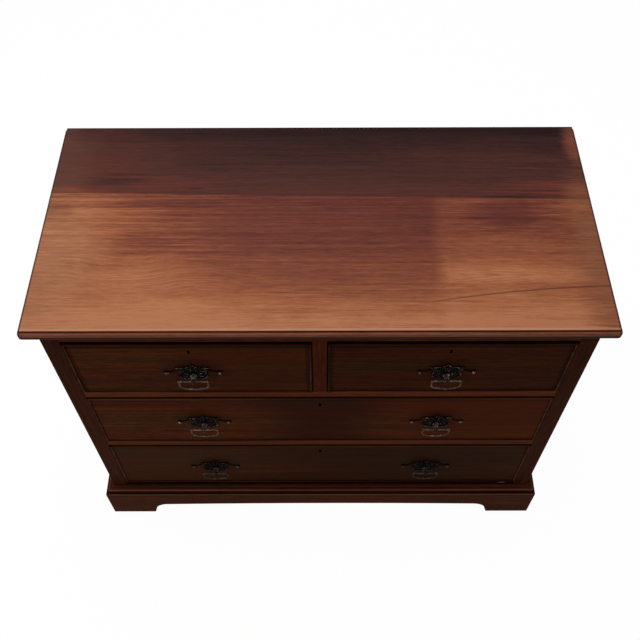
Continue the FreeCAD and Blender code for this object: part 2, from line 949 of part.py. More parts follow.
def make_lock(drawer):
    """Lock case in the back of a front, its bolt and the keyhole's rim; returns what the front loses."""
    half_bolt = s.bolt_width / 2
    half_thickness = s.bolt_thickness / 2
    bolt_base = drawer.front_top - s.bolt_height
    bolt = box((drawer.centre - half_bolt, bolt_line() - half_thickness, bolt_base),
               (drawer.centre + half_bolt, bolt_line() + half_thickness, drawer.front_top))
    node(f"{drawer.name}_lock_bolt", bolt)
    channel_half = half_bolt + s.bolt_gap
    channel_depth = half_thickness + s.bolt_gap
    channel = box((drawer.centre - channel_half, bolt_line() - channel_depth, bolt_base - s.bolt_gap),
                  (drawer.centre + channel_half, bolt_line() + channel_depth, drawer.front_top + s.overrun))
    lock_face = behind_front - lock_depth
    block = box((drawer.centre - s.lock_width / 2, lock_face, drawer.front_top - s.lock_height),
                (drawer.centre + s.lock_width / 2, behind_front, drawer.front_top))
    hole = key_shape(drawer, as_size(0), case_front - s.overrun, lock_face + s.lock_wall)
    rim = key_shape(drawer, s.escutcheon_rim, case_front, case_front + s.escutcheon_depth)
    node(f"{drawer.name}_lock", group([cut(block, channel, hole), cut(rim, hole)]))
    return block, hole, rim


def bowed(start, end, share, bow):
    """The end of an edge that bows by a share of its length, or that is straight."""
    if bow is None:
        return end
    return (*end, straight_between(end[0] - start[0], end[1] - start[1]) * share, bow)


def plate_outline(inset):
    """The handle plate: an ogee peak between square shoulders, a waist, and a rounded foot with a point."""
    half = s.plate_width / 2 - inset
    rise = s.plate_rise - inset
    fall = s.plate_fall - inset
    right = [
        (as_size(0), -fall),
        *[(half * across, fall * up) for across, up in PLATE_LOWER_SHARES],
        *[(half * across, rise * up) for across, up in PLATE_UPPER_SHARES],
        (as_size(0), rise),
    ]
    bows = (HOLLOW, ROUND, HOLLOW, None, HOLLOW)
    left = [(-across, up) for across, up in right[::-1]]
    edges = zip(right + left[1:-1], right[1:] + left[1:], bows + bows[::-1])
    return [bowed(start, end, PLATE_BOW_SHARE, bow) for start, end, bow in edges]


def arm_outline():
    """The right arm of a plate, which sags from the shoulder to the nail."""
    root = s.plate_width / 2 * ARM_ROOT_SHARE
    nail = s.nail_spread / 2
    upper = s.plate_rise * PLATE_UPPER_SHARES[0][1]
    half = s.arm_width / 2
    corners = [(root, upper - s.arm_width), (nail, -half), (nail, half), (root, upper)]
    bows = (None, ROUND, None, HOLLOW)
    return [bowed(start, end, ARM_BOW_SHARE, bow)
            for start, end, bow in zip(corners[-1:] + corners[:-1], corners, bows)]


def make_plate(x, nail_line, nail_places):
    """A handle's plate: shield with a raised rim, two arms and a stepped rosette under each nail."""
    back = (x, case_front, nail_line)
    face = case_front - s.plate_thickness
    raised = s.plate_thickness + s.rim_height
    shield = pad("XZ_Plane", plate_outline(as_size(0)), raised, back)
    shield = cut(shield, pad("XZ_Plane", plate_outline(s.rim_width), raised, (x, face, nail_line)))
    arms = [pad("XZ_Plane", outline, s.plate_thickness, back)
            for outline in (arm_outline(), mirrored(arm_outline()))]
    rosettes = []
    for place_x in nail_places:
        centre = (place_x, case_front, nail_line)
        rosettes.append(rod(centre, s.rosette_radius, s.plate_thickness, X_AXIS))
        rosettes.append(rod(centre, s.boss_radius, raised, X_AXIS))
    return fuse(shield, *arms, *rosettes)


def make_nail(x, nail_line):
    """A round-headed nail through a rosette."""
    seat = case_front - s.plate_thickness - s.rim_height
    start = case_front + s.nail_length
    shank = rod((x, start, nail_line), s.nail_radius, start - seat, X_AXIS)
    head = ball((x, seat, nail_line), s.nail_head_radius, X_AXIS)
    head.Angle1 = 0
    return fuse(shank, head)


def make_post(x, eye_height):
    """A turned post: shank, collar, rings and the eye that the bail hangs in."""
    face = case_front - s.plate_thickness
    eye_line = case_front - s.eye_reach
    stem_length = s.eye_reach - s.plate_thickness
    shank_start = behind_front + s.nut_thickness + s.shank_end
    shank = rod((x, shank_start, eye_height), s.shank_radius, shank_start - face, X_AXIS)
    stem = rod((x, face, eye_height), s.post_radius, stem_length, X_AXIS)
    collar = rod((x, face, eye_height), s.collar_radius, s.collar_thickness, X_AXIS)
    rings = [rod((x, face - stem_length * share, eye_height), s.post_ring_radius,
                 s.post_ring_thickness, X_AXIS)
             for share in POST_RING_SHARES]
    eye = ball((x, eye_line, eye_height), s.eye_radius)
    tip = ball((x, eye_line - s.eye_radius, eye_height), s.eye_tip_radius, X_AXIS)
    bore_radius = s.bail_bar_radius + s.eye_gap
    bore = rod((x - s.eye_radius, eye_line, eye_height), bore_radius, s.eye_radius * 2, Y_AXIS)
    return cut(fuse(shank, stem, collar, *rings, eye, tip), bore)


def make_handle(x, nail_line):
    """One handle's plate, nails, post and nut."""
    eye_height = nail_line - s.eye_fall
    nail_places = (x - s.nail_spread / 2, x + s.nail_spread / 2)
    nails = [make_nail(place_x, nail_line) for place_x in nail_places]
    post = make_post(x, eye_height)
    half_nut = s.nut_width / 2
    nut = box((x - half_nut, behind_front, eye_height - half_nut),
              (x + half_nut, behind_front + s.nut_thickness, eye_height + half_nut))
    plate = cut(make_plate(x, nail_line, nail_places), post, *nails)
    return [plate, *nails, post, cut(nut, post)]


def bail_path():
    """The line of a bail below its bar, from the left: down, round the lower bar and up again."""
    half = s.bail_half_width
    corner = s.bail_corner_radius
    foot = s.bail_foot_radius
    foot_centre = foot - s.bail_drop
    corner_fall = other_leg(foot - corner, half - corner)
    corner_level = foot_centre - corner_fall
    stretch = foot / (foot - corner)
    meet = (half - corner) * stretch
    meet_level = foot_centre - corner_fall * stretch
    bar_level = as_size(0)
    return [
        (-half, bar_level),
        (-half, corner_level),
        (-meet, meet_level, corner, ROUND),
        (meet, meet_level, foot, ROUND),
        (half, corner_level, corner, ROUND),
        (half, bar_level),
    ]


def make_bail(label, x, eye_height):
    """A drop bail: a straight bar through the eye and a bowed lower bar with a bead at its middle."""
    eye_line = case_front - s.eye_reach
    half = s.bail_half_width
    path = turn(new("Sketcher::SketchObject"), X_AXIS)
    draw(path, bail_path(), closed=False)
    place(path, (x, eye_line, eye_height))
    section = new("Part::Circle")
    section.setExpression("Radius", s.bail_bar_radius.text)
    place(section, (x - half, eye_line, eye_height))
    bar = rod((x - half, eye_line, eye_height), s.bail_bar_radius, half * 2, Y_AXIS)
    knobs = [ball((x + offset, eye_line, eye_height), s.bail_knob_radius, Y_AXIS)
             for offset in (-half, half)]
    bead = ball((x, eye_line, eye_height - s.bail_drop), s.bail_bead_radius, Y_AXIS)
    node(label, fuse(bar, sweep(section, path), bead, *knobs))


def make_front(drawer, bottom, sides, lock_tools, fittings):
    """A drawer front: stepped round its edge for the bead, socketed for tails and cut for fittings."""
    bead = s.bead_thickness
    step = case_front + s.bead_seat
    back = box((drawer.left, step, drawer.front_base), (drawer.right, behind_front, drawer.front_top))
    face = box((drawer.left + bead, case_front, drawer.front_base + bead),
               (drawer.right - bead, step, drawer.front_top - bead))
    node(f"{drawer.name}_front", cut(fuse(back, face), sides, bottom, *lock_tools, fittings))


def make_drawer(drawer):
    bottom, sides = make_drawer_box(drawer)
    make_cock_bead(drawer)
    lock_tools = make_lock(drawer)
    fittings = []
    for suffix, x in drawer.handles.items():
        fittings += make_handle(x, drawer.nail_line)
        make_bail(f"{drawer.name}_bail{suffix}", x, drawer.nail_line - s.eye_fall)
    fittings = node(f"{drawer.name}_handle_mounts", group(fittings))
    make_front(drawer, bottom, sides, lock_tools, fittings)


def make_case(drawers):
    screws = make_top_screws()
    make_top_board(screws)
    make_sides()
    make_stiles()
    make_back_boards()
    dust_boards = make_dust_boards()
    make_rails(drawers, dust_boards, screws)
    make_divider()
    make_bottom_board()
    make_runners(dust_boards)
    make_guides()
    make_kickers()
    make_stops(drawers)
    make_plinth()
    make_base_rails()
    make_corner_blocks()


def check():
    """Every object built, every node a valid shape under its own name."""
    for item in doc.Objects:
        if {"Invalid", "Error"} & set(item.State):
            raise RuntimeError(f"{item.Label} ({item.Name}) failed: {item.State}")
    for label, piece in nodes.items():
        if piece.Label != label:
            raise RuntimeError(f"{label} is labelled {piece.Label}")
        if piece.Shape.isNull() or not piece.Shape.isValid() or not piece.Shape.Solids:
            raise RuntimeError(f"{label} has no valid solid")


def write():
    os.makedirs("parts", exist_ok=True)
    for label, piece in nodes.items():
        piece.Shape.exportStep(f"parts/{label}.step")


def main():
    drawers = plan_drawers()
    make_case(drawers)
    for drawer in drawers:
        make_drawer(drawer)
    doc.recompute()
    check()
    write()
    print(f"{len(nodes)} nodes, {sum(len(piece.Shape.Solids) for piece in nodes.values())} solids")


main()
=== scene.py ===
import math

import bmesh
import bpy
from mathutils import Matrix, Vector


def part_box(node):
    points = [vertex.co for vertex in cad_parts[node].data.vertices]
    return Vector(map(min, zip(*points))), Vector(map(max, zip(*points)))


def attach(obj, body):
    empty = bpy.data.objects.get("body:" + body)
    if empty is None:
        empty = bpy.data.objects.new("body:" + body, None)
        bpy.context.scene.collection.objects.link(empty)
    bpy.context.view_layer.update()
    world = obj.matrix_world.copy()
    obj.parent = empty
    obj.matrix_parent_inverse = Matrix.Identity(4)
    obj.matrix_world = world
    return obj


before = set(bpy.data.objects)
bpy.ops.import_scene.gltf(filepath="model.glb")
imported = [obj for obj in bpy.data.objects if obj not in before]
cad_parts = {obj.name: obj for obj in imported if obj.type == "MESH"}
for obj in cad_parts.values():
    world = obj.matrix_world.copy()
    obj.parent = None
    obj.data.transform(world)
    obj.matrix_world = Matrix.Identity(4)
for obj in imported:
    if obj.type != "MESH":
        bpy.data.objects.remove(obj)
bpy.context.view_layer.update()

# The looks of a mahogany chest of drawers: polish, grain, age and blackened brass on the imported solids.
# Metres, +Z up, the front towards -Y. A gradual change is given as the two values that it runs between
# and the amounts at those two; where only the two values are given, it runs from 0 to 1.

# Camera, from the lines of the top, the rails and the plinth
CAMERA_PLACE = (0.0032, -1.0780, 1.9827)
CAMERA_PITCH = math.radians(57.364)
CAMERA_YAW = math.radians(-0.194)
CAMERA_ROLL = math.radians(-0.296)
CAMERA_LENS = 45.884
CAMERA_SENSOR = 36
CAMERA_SHIFT_UP = 0.0692

# Light: lamps as name, place, target, size and power, then the floor and the surround
LAMPS = (
    ("key", (-0.5, 0.5, 3.2), (0, 0, 0.6), (2.4, 1.8), 52),
    ("fill", (-1.8, -2.2, 1.6), (0, 0, 0.4), (1.2, 1.2), 7),
)
FLOOR_REACH = 30
FLOOR_GREY = (0.4, 0.4, 0.4, 1)
FLOOR_GLOW_SHARE = 0.9
FLOOR_GLOW = 1.08
SURROUND_SEEN = 1.0
SURROUND_LIGHT = 0.26
SURROUND_REFLECTED = 0.35
WHITE = (1, 1, 1, 1)

# Softening of the sharp edges: a worn arris on boards, and the least distance that counts as one corner
BOARD_ARRIS = 0.0008
SMALL_ARRIS = 0.0004
ARRIS_ANGLE = math.radians(40)
ARRIS_STEPS = 2
SAME_CORNER = 0.000005

# Sockets of a mix of two colours, and how softly a spot ends, in shares of its reach
MIX_SHARE, MIX_FIRST, MIX_SECOND, MIX_RESULT = 0, 6, 7, 2
SPOT_EDGE = (0.4, 1.6, 1.0, 0.0)
# The middle of a noise's values
MIDDLE = 0.5


def srgb(red, green, blue):
    """A colour as it shows on a screen, as the linear values that shaders take."""
    def linear(level):
        share = level / 255
        return share / 12.92 if share <= 0.04045 else ((share + 0.055) / 1.055) ** 2.4
    return (linear(red), linear(green), linear(blue), 1)


class Graph:
    """One material's nodes, built with short calls. Sockets and plain values go in alike."""

    def __init__(self, name):
        self.material = bpy.data.materials.new(name)
        self.material.use_nodes = True
        self.tree = self.material.node_tree
        self.shader = self.tree.nodes["Principled BSDF"]

    def feed(self, socket, value):
        if isinstance(value, bpy.types.NodeSocket):
            self.tree.links.new(value, socket)
        else:
            socket.default_value = value

    def add(self, kind, inputs, output=0, **settings):
        made = self.tree.nodes.new(kind)
        for setting, value in settings.items():
            setattr(made, setting, value)
        for socket, value in inputs.items():
            self.feed(made.inputs[socket], value)
        return made.outputs[output]

    def place(self):
        return self.add("ShaderNodeTexCoord", {}, "Object")

    def split(self, vector):
        node = self.add("ShaderNodeSeparateXYZ", {0: vector}).node
        return node.outputs[0], node.outputs[1], node.outputs[2]

    def join(self, x, y, z):
        return self.add("ShaderNodeCombineXYZ", {0: x, 1: y, 2: z})

    def math(self, operation, first, second=0.0):
        return self.add("ShaderNodeMath", {0: first, 1: second}, operation=operation)

    def plus(self, first, second):
        return self.math("ADD", first, second)

    def minus(self, first, second):
        return self.math("SUBTRACT", first, second)

    def times(self, first, second):
        return self.math("MULTIPLY", first, second)

    def absolute(self, value):
        return self.math("ABSOLUTE", value)

    def weigh(self, parts, shift=0.0):
        """The sum of (value, weight) pairs."""
        total = shift
        for value, weight in parts:
            total = self.plus(self.times(value, weight), total)
        return total

    def noise(self, vector, detail, roughness, scale=1.0):
        return self.add("ShaderNodeTexNoise", {
            "Vector": vector, "Scale": scale, "Detail": detail, "Roughness": roughness})

    def between(self, value, low, high, to_low=0.0, to_high=1.0):
        """A smooth rise from to_low to to_high while the value goes from low to high."""
        return self.add("ShaderNodeMapRange", {
            "Value": value, "From Min": low, "From Max": high, "To Min": to_low, "To Max": to_high},
            interpolation_type="SMOOTHSTEP")

    def mix(self, share, first, second, blend="MIX"):
        node = self.tree.nodes.new("ShaderNodeMix")
        node.data_type = "RGBA"
        node.blend_type = blend
        for socket, value in ((MIX_SHARE, share), (MIX_FIRST, first), (MIX_SECOND, second)):
            self.feed(node.inputs[socket], value)
        return node.outputs[MIX_RESULT]

    def ramp(self, value, stops):
        node = self.tree.nodes.new("ShaderNodeValToRGB")
        self.feed(node.inputs[0], value)
        band = node.color_ramp
        while len(band.elements) < len(stops):
            band.elements.new(0.5)
        for element, (position, colour) in zip(band.elements, stops):
            element.position = position
            element.color = colour
        return node.outputs[0]

    def curve(self, value, points):
        """A number that follows (value, result) points."""
        first, last = points[0][0], points[-1][0]
        share = self.add("ShaderNodeMapRange", {"Value": value, "From Min": first, "From Max": last})
        stops = [((at - first) / (last - first), (level, level, level, 1)) for at, level in points]
        return self.ramp(share, stops)

    def spot(self, across, along, centre, reach, wobble=0.0):
        """1 inside an oval, falling softly to 0 outside it; a wobble makes its edge uneven."""
        near = self.math("DIVIDE", self.minus(across, centre[0]), reach[0])
        far = self.math("DIVIDE", self.minus(along, centre[1]), reach[1])
        away = self.math("SQRT", self.plus(self.times(near, near), self.times(far, far)))
        return self.between(self.plus(away, wobble), *SPOT_EDGE)

    def spots(self, across, along, places, wobble=0.0):
        """The sum of spots, each given as centre, reach and amount."""
        return self.weigh([(self.spot(across, along, centre, reach, wobble), amount)
                           for centre, reach, amount in places])

    def bump(self, height, strength, distance):
        return self.add("ShaderNodeBump", {"Height": height, "Strength": strength, "Distance": distance})

    def surface(self, **inputs):
        for name, value in inputs.items():
            self.feed(self.shader.inputs[name.replace("_", " ")], value)
        return self.material


# Grain: how far a seed shifts it along and across, and a slow sway of its lines, as the pitch of that along
# and across, the detail and roughness of its noise and how far it goes
SEED_ALONG = 1.7
SEED_ACROSS = 0.37
SWAY_PITCH = (1.1, 3.0)
SWAY_NOISE = (1.5, 0.55)
SWAY = 0.03
# The kinds of line: how many to a metre along and across, and the detail and roughness of their noise
BANDS = (0.8, 9.0, 3.0, 0.6)
TINT = (0.9, 16.0, 2.0, 0.6)
STREAKS = (1.5, 58.0, 5.0, 0.64)
FINE_LINES = (2.6, 210.0, 3.0, 0.6)
FLECKS = (34.0, 290.0, 3.0, 0.72)
FIBRES = (16.0, 620.0, 2.0, 0.6)
PORES = (60.0, 1300.0, 2.0, 0.6)
PORE_LEVELS = (0.62, 0.74)


class Grain:
    """Wood grain along one axis, as numbers round a half: bands, streaks, fine lines, flecks and pores."""

    def __init__(self, graph, axis, seed, bend=0.0):
        g = graph
        x, y, z = g.split(g.place())
        along, across, deep = {"X": (x, y, z), "Y": (y, x, z), "Z": (z, x, y)}[axis]
        along = g.plus(along, seed * SEED_ALONG)
        slow = g.join(g.times(along, SWAY_PITCH[0]), g.times(across, SWAY_PITCH[1]),
                      g.times(deep, SWAY_PITCH[1]))
        sway = g.times(g.minus(g.noise(slow, *SWAY_NOISE), MIDDLE), SWAY)
        across = g.plus(g.plus(g.plus(across, sway), bend), seed * SEED_ACROSS)
        deep = g.plus(deep, sway)

        def lines(length, width, detail, roughness):
            vector = g.join(g.times(along, length), g.times(across, width), g.times(deep, width))
            return g.noise(vector, detail, roughness)

        self.bands = lines(*BANDS)
        self.tint = lines(*TINT)
        self.streaks = lines(*STREAKS)
        self.fine = lines(*FINE_LINES)
        self.flecks = lines(*FLECKS)
        self.fibres = lines(*FIBRES)
        self.pores = g.between(lines(*PORES), *PORE_LEVELS)

    def parts(self, weights):
        """Kinds of line with their weights, by name."""
        return [(getattr(self, kind), weight) for kind, weight in weights.items()]


# Open pores in polish: how much rougher they are, and how high fibres stand beside them
PORE_ROUGHNESS = 0.12
FIBRE_HEIGHT = 0.5


def polished(g, grain, colour, roughness, relief, shine, tint):
    """A polished surface, rougher where its pores are open."""
    rough = g.plus(g.between(grain.bands, *roughness), g.times(grain.pores, PORE_ROUGHNESS))
    height = g.minus(g.times(grain.fibres, FIBRE_HEIGHT), grain.pores)
    return g.surface(Base_Color=colour, Roughness=rough, Normal=g.bump(height, *relief),
                     Specular_IOR_Level=shine, Specular_Tint=tint)


# How far the polish of the top has faded, from 0, dark, to 1, bleached: the colour, then the depth from the
# front to the joint between the two boards, and the depth behind that joint
FADE_COLOURS = (
    (0.0, srgb(36, 21, 22)), (0.15, srgb(54, 32, 31)), (0.3, srgb(78, 44, 39)), (0.45, srgb(103, 52, 44)),
    (0.6, srgb(122, 66, 50)), (0.75, srgb(147, 85, 58)), (0.9, srgb(168, 105, 71)),
    (1.0, srgb(180, 118, 83)),
)
FRONT_FADE = (
    (-0.2625, 0.96), (-0.245, 0.93), (-0.21, 0.82), (-0.17, 0.68), (-0.10, 0.58), (-0.02, 0.48),
    (0.05, 0.455), (0.09, 0.445),
)
BACK_FADE = ((0.0, 0.325), (0.03, 0.325), (0.06, 0.25), (0.10, 0.19), (0.14, 0.16), (0.18, 0.04))

# Unevenness of the fading: how many patches to a metre across and deep, detail and roughness; then how far
# it shifts what follows
UNEVEN_PITCH = (3.2, 8.0)
UNEVEN_NOISE = (5.0, 0.65)
FRONT_SHIFT = 0.07
BACK_SHIFT = 0.04

# The joint between the boards: its depth and slant, the change from one board to the other, and its seam
JOINT_DEPTH = 0.0667
JOINT_SLANT = 0.0205
JOINT_CHANGE = (-0.0008, 0.0016)
SEAM = (0.0002, 0.0012, 1.0, 0.0)
SEAM_COLOUR = srgb(34, 18, 16)
SEAM_STRENGTH = 0.4

# The front board is paler at the left end, by place and by depth, and at the right past a straight old
# edge; its right end comes near to one fading
LEFT_FADE = (-0.5, -0.08, 0.36, 0.0)
LEFT_DEPTH = (-0.22, -0.06, 0.3, 1.0)
LEFT_SHIFT = 0.16
OLD_EDGE = (0.205, 0.240)
OLD_EDGE_SHIFT = 0.03
PAST_EDGE_FADE = (-0.2, -0.12, 0.08, 0.15)
END_SHARE = (0.45, 0.53, 0.0, 0.8)
END_SHIFT = 0.05
END_FADE = 0.66

# The back board is paler at the left end, and frayed into streaks at the right, less so further back
BACK_LEFT_FADE = (-0.54, -0.12, 0.15, 0.0)
BACK_LEFT_SHIFT = 0.12
FRAYED_FINE = 0.5
FRAYED_LINES = (0.70, 0.86)
FRAYED_PLACE = (0.26, 0.52)
FRAYED_SHIFT = 0.2
FRAYED_DEPTH = (0.05, 0.10, 1.0, 0.3)
FRAYED_AMOUNT = 0.22

# Places on the top that are more or less faded: centre, reach and amount
FADE_SPOTS = (
    # A pale strip at the left of the joint, the worn back corners and pale patches
    ((-0.505, 0.086), (0.045, 0.006), 0.16),
    ((0.525, 0.218), (0.021, 0.050), 0.38),
    ((0.515, 0.020), (0.030, 0.070), 0.07),
    ((0.515, 0.075), (0.025, 0.018), 0.08),
    ((0.330, 0.175), (0.16, 0.055), 0.05),
    ((-0.522, 0.235), (0.025, 0.035), 0.08),
    ((-0.30, -0.215), (0.16, 0.028), 0.10),
    ((-0.29, -0.150), (0.12, 0.040), 0.10),
    ((0.050, -0.225), (0.07, 0.025), 0.06),
    # Stains above the joint, a small burn, the patch at the right and the reddish streaks at the left
    ((-0.43, 0.106), (0.09, 0.019), -0.16),
    ((0.385, 0.070), (0.10, 0.012), -0.04),
    ((-0.243, 0.087), (0.014, 0.0028), -0.16),
    ((0.378, 0.020), (0.068, 0.038), -0.18),
    ((-0.52, -0.190), (0.030, 0.050), -0.10),
    ((-0.42, -0.100), (0.070, 0.020), -0.07),
    ((-0.31, 0.046), (0.11, 0.022), -0.12),
    ((-0.515, 0.028), (0.03, 0.018), -0.25),
    ((-0.34, -0.055), (0.07, 0.025), -0.14),
)
# The figured patch at the right, which stops at the old edge
PAST_EDGE_SPOTS = (
    ((0.36, -0.131), (0.16, 0.022), 0.17),
    ((0.375, -0.060), (0.10, 0.020), 0.06),
    ((0.330, -0.172), (0.05, 0.015), 0.07),
)
# Casts over that colour: centre, reach, colour and strength; and how much the grain shows in them
TOP_CASTS = (
    ((-0.51, -0.10), (0.08, 0.16), srgb(162, 110, 80), 0.6),
    ((0.52, -0.08), (0.04, 0.16), srgb(133, 85, 61), 0.7),
    ((0.515, -0.02), (0.03, 0.022), srgb(142, 92, 68), 0.5),
    ((-0.53, 0.17), (0.06, 0.10), srgb(88, 60, 51), 0.6),
    ((0.530, 0.212), (0.021, 0.06), srgb(118, 74, 54), 0.55),
    ((-0.44, 0.242), (0.07, 0.014), srgb(76, 38, 38), 0.5),
    ((-0.15, -0.04), (0.10, 0.04), srgb(110, 56, 50), 0.3),
)
CAST_GRAIN = 1.8
# The ragged edges of those places
RAGGED_PATCHES = 1.6
RAGGED_GRAIN = {"streaks": 0.5, "fine": 1.7}
RAGGED_SHIFT = -1.1

# Grain of the top: swirls as centre, reach and how far the lines bend; then streaks, quiet ones, and how
# much more they show in one lively place
SWIRLS = (((-0.368, -0.119), (0.07, 0.030), 0.012), ((-0.219, -0.143), (0.06, 0.026), -0.010))
LIVELY_PLACE = ((-0.38, 0.045), (0.22, 0.05))
LIVELY_STREAKS = 0.7
QUIET_STREAKS = 0.22
TOP_GRAIN = {"bands": 0.20, "fine": 0.42, "flecks": 0.42, "fibres": 0.3}
TOP_GRAIN_SHIFT = -0.67
BACK_GRAIN = 0.55
# An arrow of figure: its place, how deep its point lies and how blunt it is, its slant and its waves
ARROW_PLACE = ((0.33, -0.133), (0.085, 0.026))
ARROW_DEPTH = 0.133
ARROW_BLUNT = 0.00001
ARROW_SLANT = 0.1
ARROW_SHIFT = 0.012
ARROW_PITCH = 0.0062
ARROW_STRENGTH = 0.05

# A dark vein to the right end: where it ends, its depth there, slope, curve and width, and where it starts
VEIN_END = 0.52
VEIN_DEPTH = 0.159
VEIN_SLOPE = 0.0369
VEIN_CURVE = 0.2354
VEIN_SHIFT = 0.003
VEIN_WIDTH = (0.0005, 0.0028, 1.0, 0.0)
VEIN_START = (0.16, 0.27)
VEIN_STRENGTH = 0.6
VEIN_COLOUR = srgb(78, 42, 30)

# The flat of the top: half its width and depth to the lip over the quirk, and the back edge; then the front
# arris, rubbed in patches and given a painted highlight, and the dark outline of the ends and the back
LIP_HALF = (0.529, 0.2565)
TOP_BACK = 0.2625
RUBBED_LIT_ARRIS = (0.002, 0.0065, 0.55, 0.0)
RUBBED_PATCHES = (0.35, 0.6, 0.5, 1.0)
RUBBED_HIGHLIGHT_COLOUR = srgb(206, 150, 122)
OUTLINE = (0.0004, 0.0020, 0.75, 0.0)
OUTLINE_COLOUR = srgb(38, 18, 14)
# The moulded edge: colours of its upper round, painted light, and of the face below, painted shade; the
# levels that part them, the painted shade on the ends, the level where it meets the flat, and the painted
# shade in the quirk, whose dark colour stands for painted shade wherever it is used
EDGE_LIT_ROUND = ((0.3, srgb(114, 61, 43)), (0.5, srgb(150, 90, 67)), (0.7, srgb(176, 113, 88)))
EDGE_SHADED_FACE = srgb(62, 35, 26)
EDGE_LEVELS = (0.7965, 0.7995)
EDGE_ENDS = (-0.001, 0.001, 0.75, 0.0)
EDGE_ENDS_SHADE = srgb(58, 30, 24)
FLAT_LEVELS = (0.8085, 0.8094, 1.0, 0.0)
QUIRK_LEVEL = 0.8069
QUIRK_SHADE = (0.0004, 0.0012, 0.85, 0.0)
PAINTED_SHADE = srgb(26, 9, 5)
# The polish of the top: its pores, roughness, relief, and the strength and tint of what it reflects
TOP_PORES = 0.22
TOP_PORE_COLOUR = srgb(60, 30, 22)
TOP_ROUGHNESS = (0.3, 0.7, 0.40, 0.50)
TOP_RELIEF = (0.05, 0.0003)
TOP_SHINE = 0.07
TOP_TINT = (1.0, 0.72, 0.55, 1.0)


class TopWood:
    """The top: two boards, sun-faded at the front and ends, red at the middle, dark along the back."""

    def __init__(self):
        self.g = g = Graph("top_mahogany_polished")
        self.x, self.y, self.z = x, y, z = g.split(g.place())
        patches = g.join(g.times(x, UNEVEN_PITCH[0]), g.times(y, UNEVEN_PITCH[1]), 0.0)
        self.uneven = g.minus(g.noise(patches, *UNEVEN_NOISE), MIDDLE)
        self.grain = Grain(g, "X", 0.0, g.spots(x, y, SWIRLS))
        self.behind = g.plus(g.minus(y, JOINT_DEPTH), g.times(x, JOINT_SLANT))
        self.is_back = g.between(self.behind, *JOINT_CHANGE)
        ragged = [(self.uneven, RAGGED_PATCHES), *self.grain.parts(RAGGED_GRAIN)]
        self.ragged = g.weigh(ragged, RAGGED_SHIFT)

    def shifted(self, value, reach):
        return self.g.plus(value, self.g.times(self.uneven, reach))

    def front_fade(self, past_edge):
        g, x, y = self.g, self.x, self.y
        fade = g.curve(self.shifted(y, FRONT_SHIFT), FRONT_FADE)
        left = g.between(self.shifted(x, LEFT_SHIFT), *LEFT_FADE)
        left = g.times(left, g.between(y, *LEFT_DEPTH))
        right = g.times(past_edge, g.between(y, *PAST_EDGE_FADE))
        fade = g.plus(fade, g.plus(left, right))
        end = g.between(self.shifted(x, END_SHIFT), *END_SHARE)
        return g.plus(fade, g.times(end, g.minus(END_FADE, fade)))

    def back_fade(self):
        g, x = self.g, self.x
        fade = g.curve(self.shifted(self.behind, BACK_SHIFT), BACK_FADE)
        fade = g.plus(fade, g.between(self.shifted(x, BACK_LEFT_SHIFT), *BACK_LEFT_FADE))
        streaks = g.plus(self.grain.streaks, g.times(self.grain.fine, FRAYED_FINE))
        frayed = g.times(g.between(streaks, *FRAYED_LINES),
                         g.between(self.shifted(x, FRAYED_SHIFT), *FRAYED_PLACE))
        frayed = g.times(frayed, g.between(self.behind, *FRAYED_DEPTH))
        return g.plus(fade, g.times(frayed, FRAYED_AMOUNT))

    def fade(self):
        g, x, y = self.g, self.x, self.y
        past_edge = g.between(self.shifted(x, OLD_EDGE_SHIFT), *OLD_EDGE)
        fade = g.plus(g.times(self.front_fade(past_edge), g.minus(1.0, self.is_back)),
                      g.times(self.back_fade(), self.is_back))
        fade = g.plus(fade, g.spots(x, y, FADE_SPOTS, self.ragged))
        return g.plus(fade, g.times(g.spots(x, y, PAST_EDGE_SPOTS, self.ragged), past_edge))

    def tone(self):
        """Strong streaks at the left end near the joint, quiet ones elsewhere, and an arrow of figure."""
        g, x, y, grain = self.g, self.x, self.y, self.grain
        lively = g.spot(x, y, *LIVELY_PLACE)
        deep = g.plus(y, ARROW_DEPTH)
        arrow = g.math("SQRT", g.plus(g.times(deep, deep), ARROW_BLUNT))
        arrow = self.shifted(g.plus(arrow, g.times(x, ARROW_SLANT)), ARROW_SHIFT)
        figure = g.times(g.math("SINE", g.times(arrow, math.tau / ARROW_PITCH)), g.spot(x, y, *ARROW_PLACE))
        streaks = g.times(g.minus(grain.streaks, MIDDLE),
                          g.plus(g.times(lively, LIVELY_STREAKS), QUIET_STREAKS))
        tone = g.weigh([(streaks, 1.0), *grain.parts(TOP_GRAIN), (figure, ARROW_STRENGTH)], TOP_GRAIN_SHIFT)
        return g.times(tone, g.between(self.is_back, 0.0, 1.0, 1.0, BACK_GRAIN))

    def flat(self, tone):
        """The colour of the faded boards with their stains, the vein and the joint."""
        g, x, y = self.g, self.x, self.y
        colour = g.ramp(g.plus(self.fade(), tone), FADE_COLOURS)
        shade = g.plus(g.times(tone, CAST_GRAIN), 1.0)
        for centre, reach, paint, strength in TOP_CASTS:
            share = g.times(g.spot(x, y, centre, reach, self.ragged), strength)
            colour = g.mix(share, colour, g.mix(1.0, paint, shade, "MULTIPLY"))
        near = g.minus(VEIN_END, x)
        bow = g.plus(g.times(near, VEIN_SLOPE), g.times(g.times(near, near), VEIN_CURVE))
        off_vein = self.shifted(g.plus(g.plus(y, VEIN_DEPTH), bow), VEIN_SHIFT)
        vein = g.times(g.between(g.absolute(off_vein), *VEIN_WIDTH), g.between(x, *VEIN_START))
        colour = g.mix(g.times(vein, VEIN_STRENGTH), colour, VEIN_COLOUR)
        seam = g.between(g.absolute(self.behind), *SEAM)
        colour = g.mix(g.times(seam, SEAM_STRENGTH), colour, SEAM_COLOUR)
        return g.mix(g.times(self.grain.pores, TOP_PORES), colour, TOP_PORE_COLOUR, "MULTIPLY")

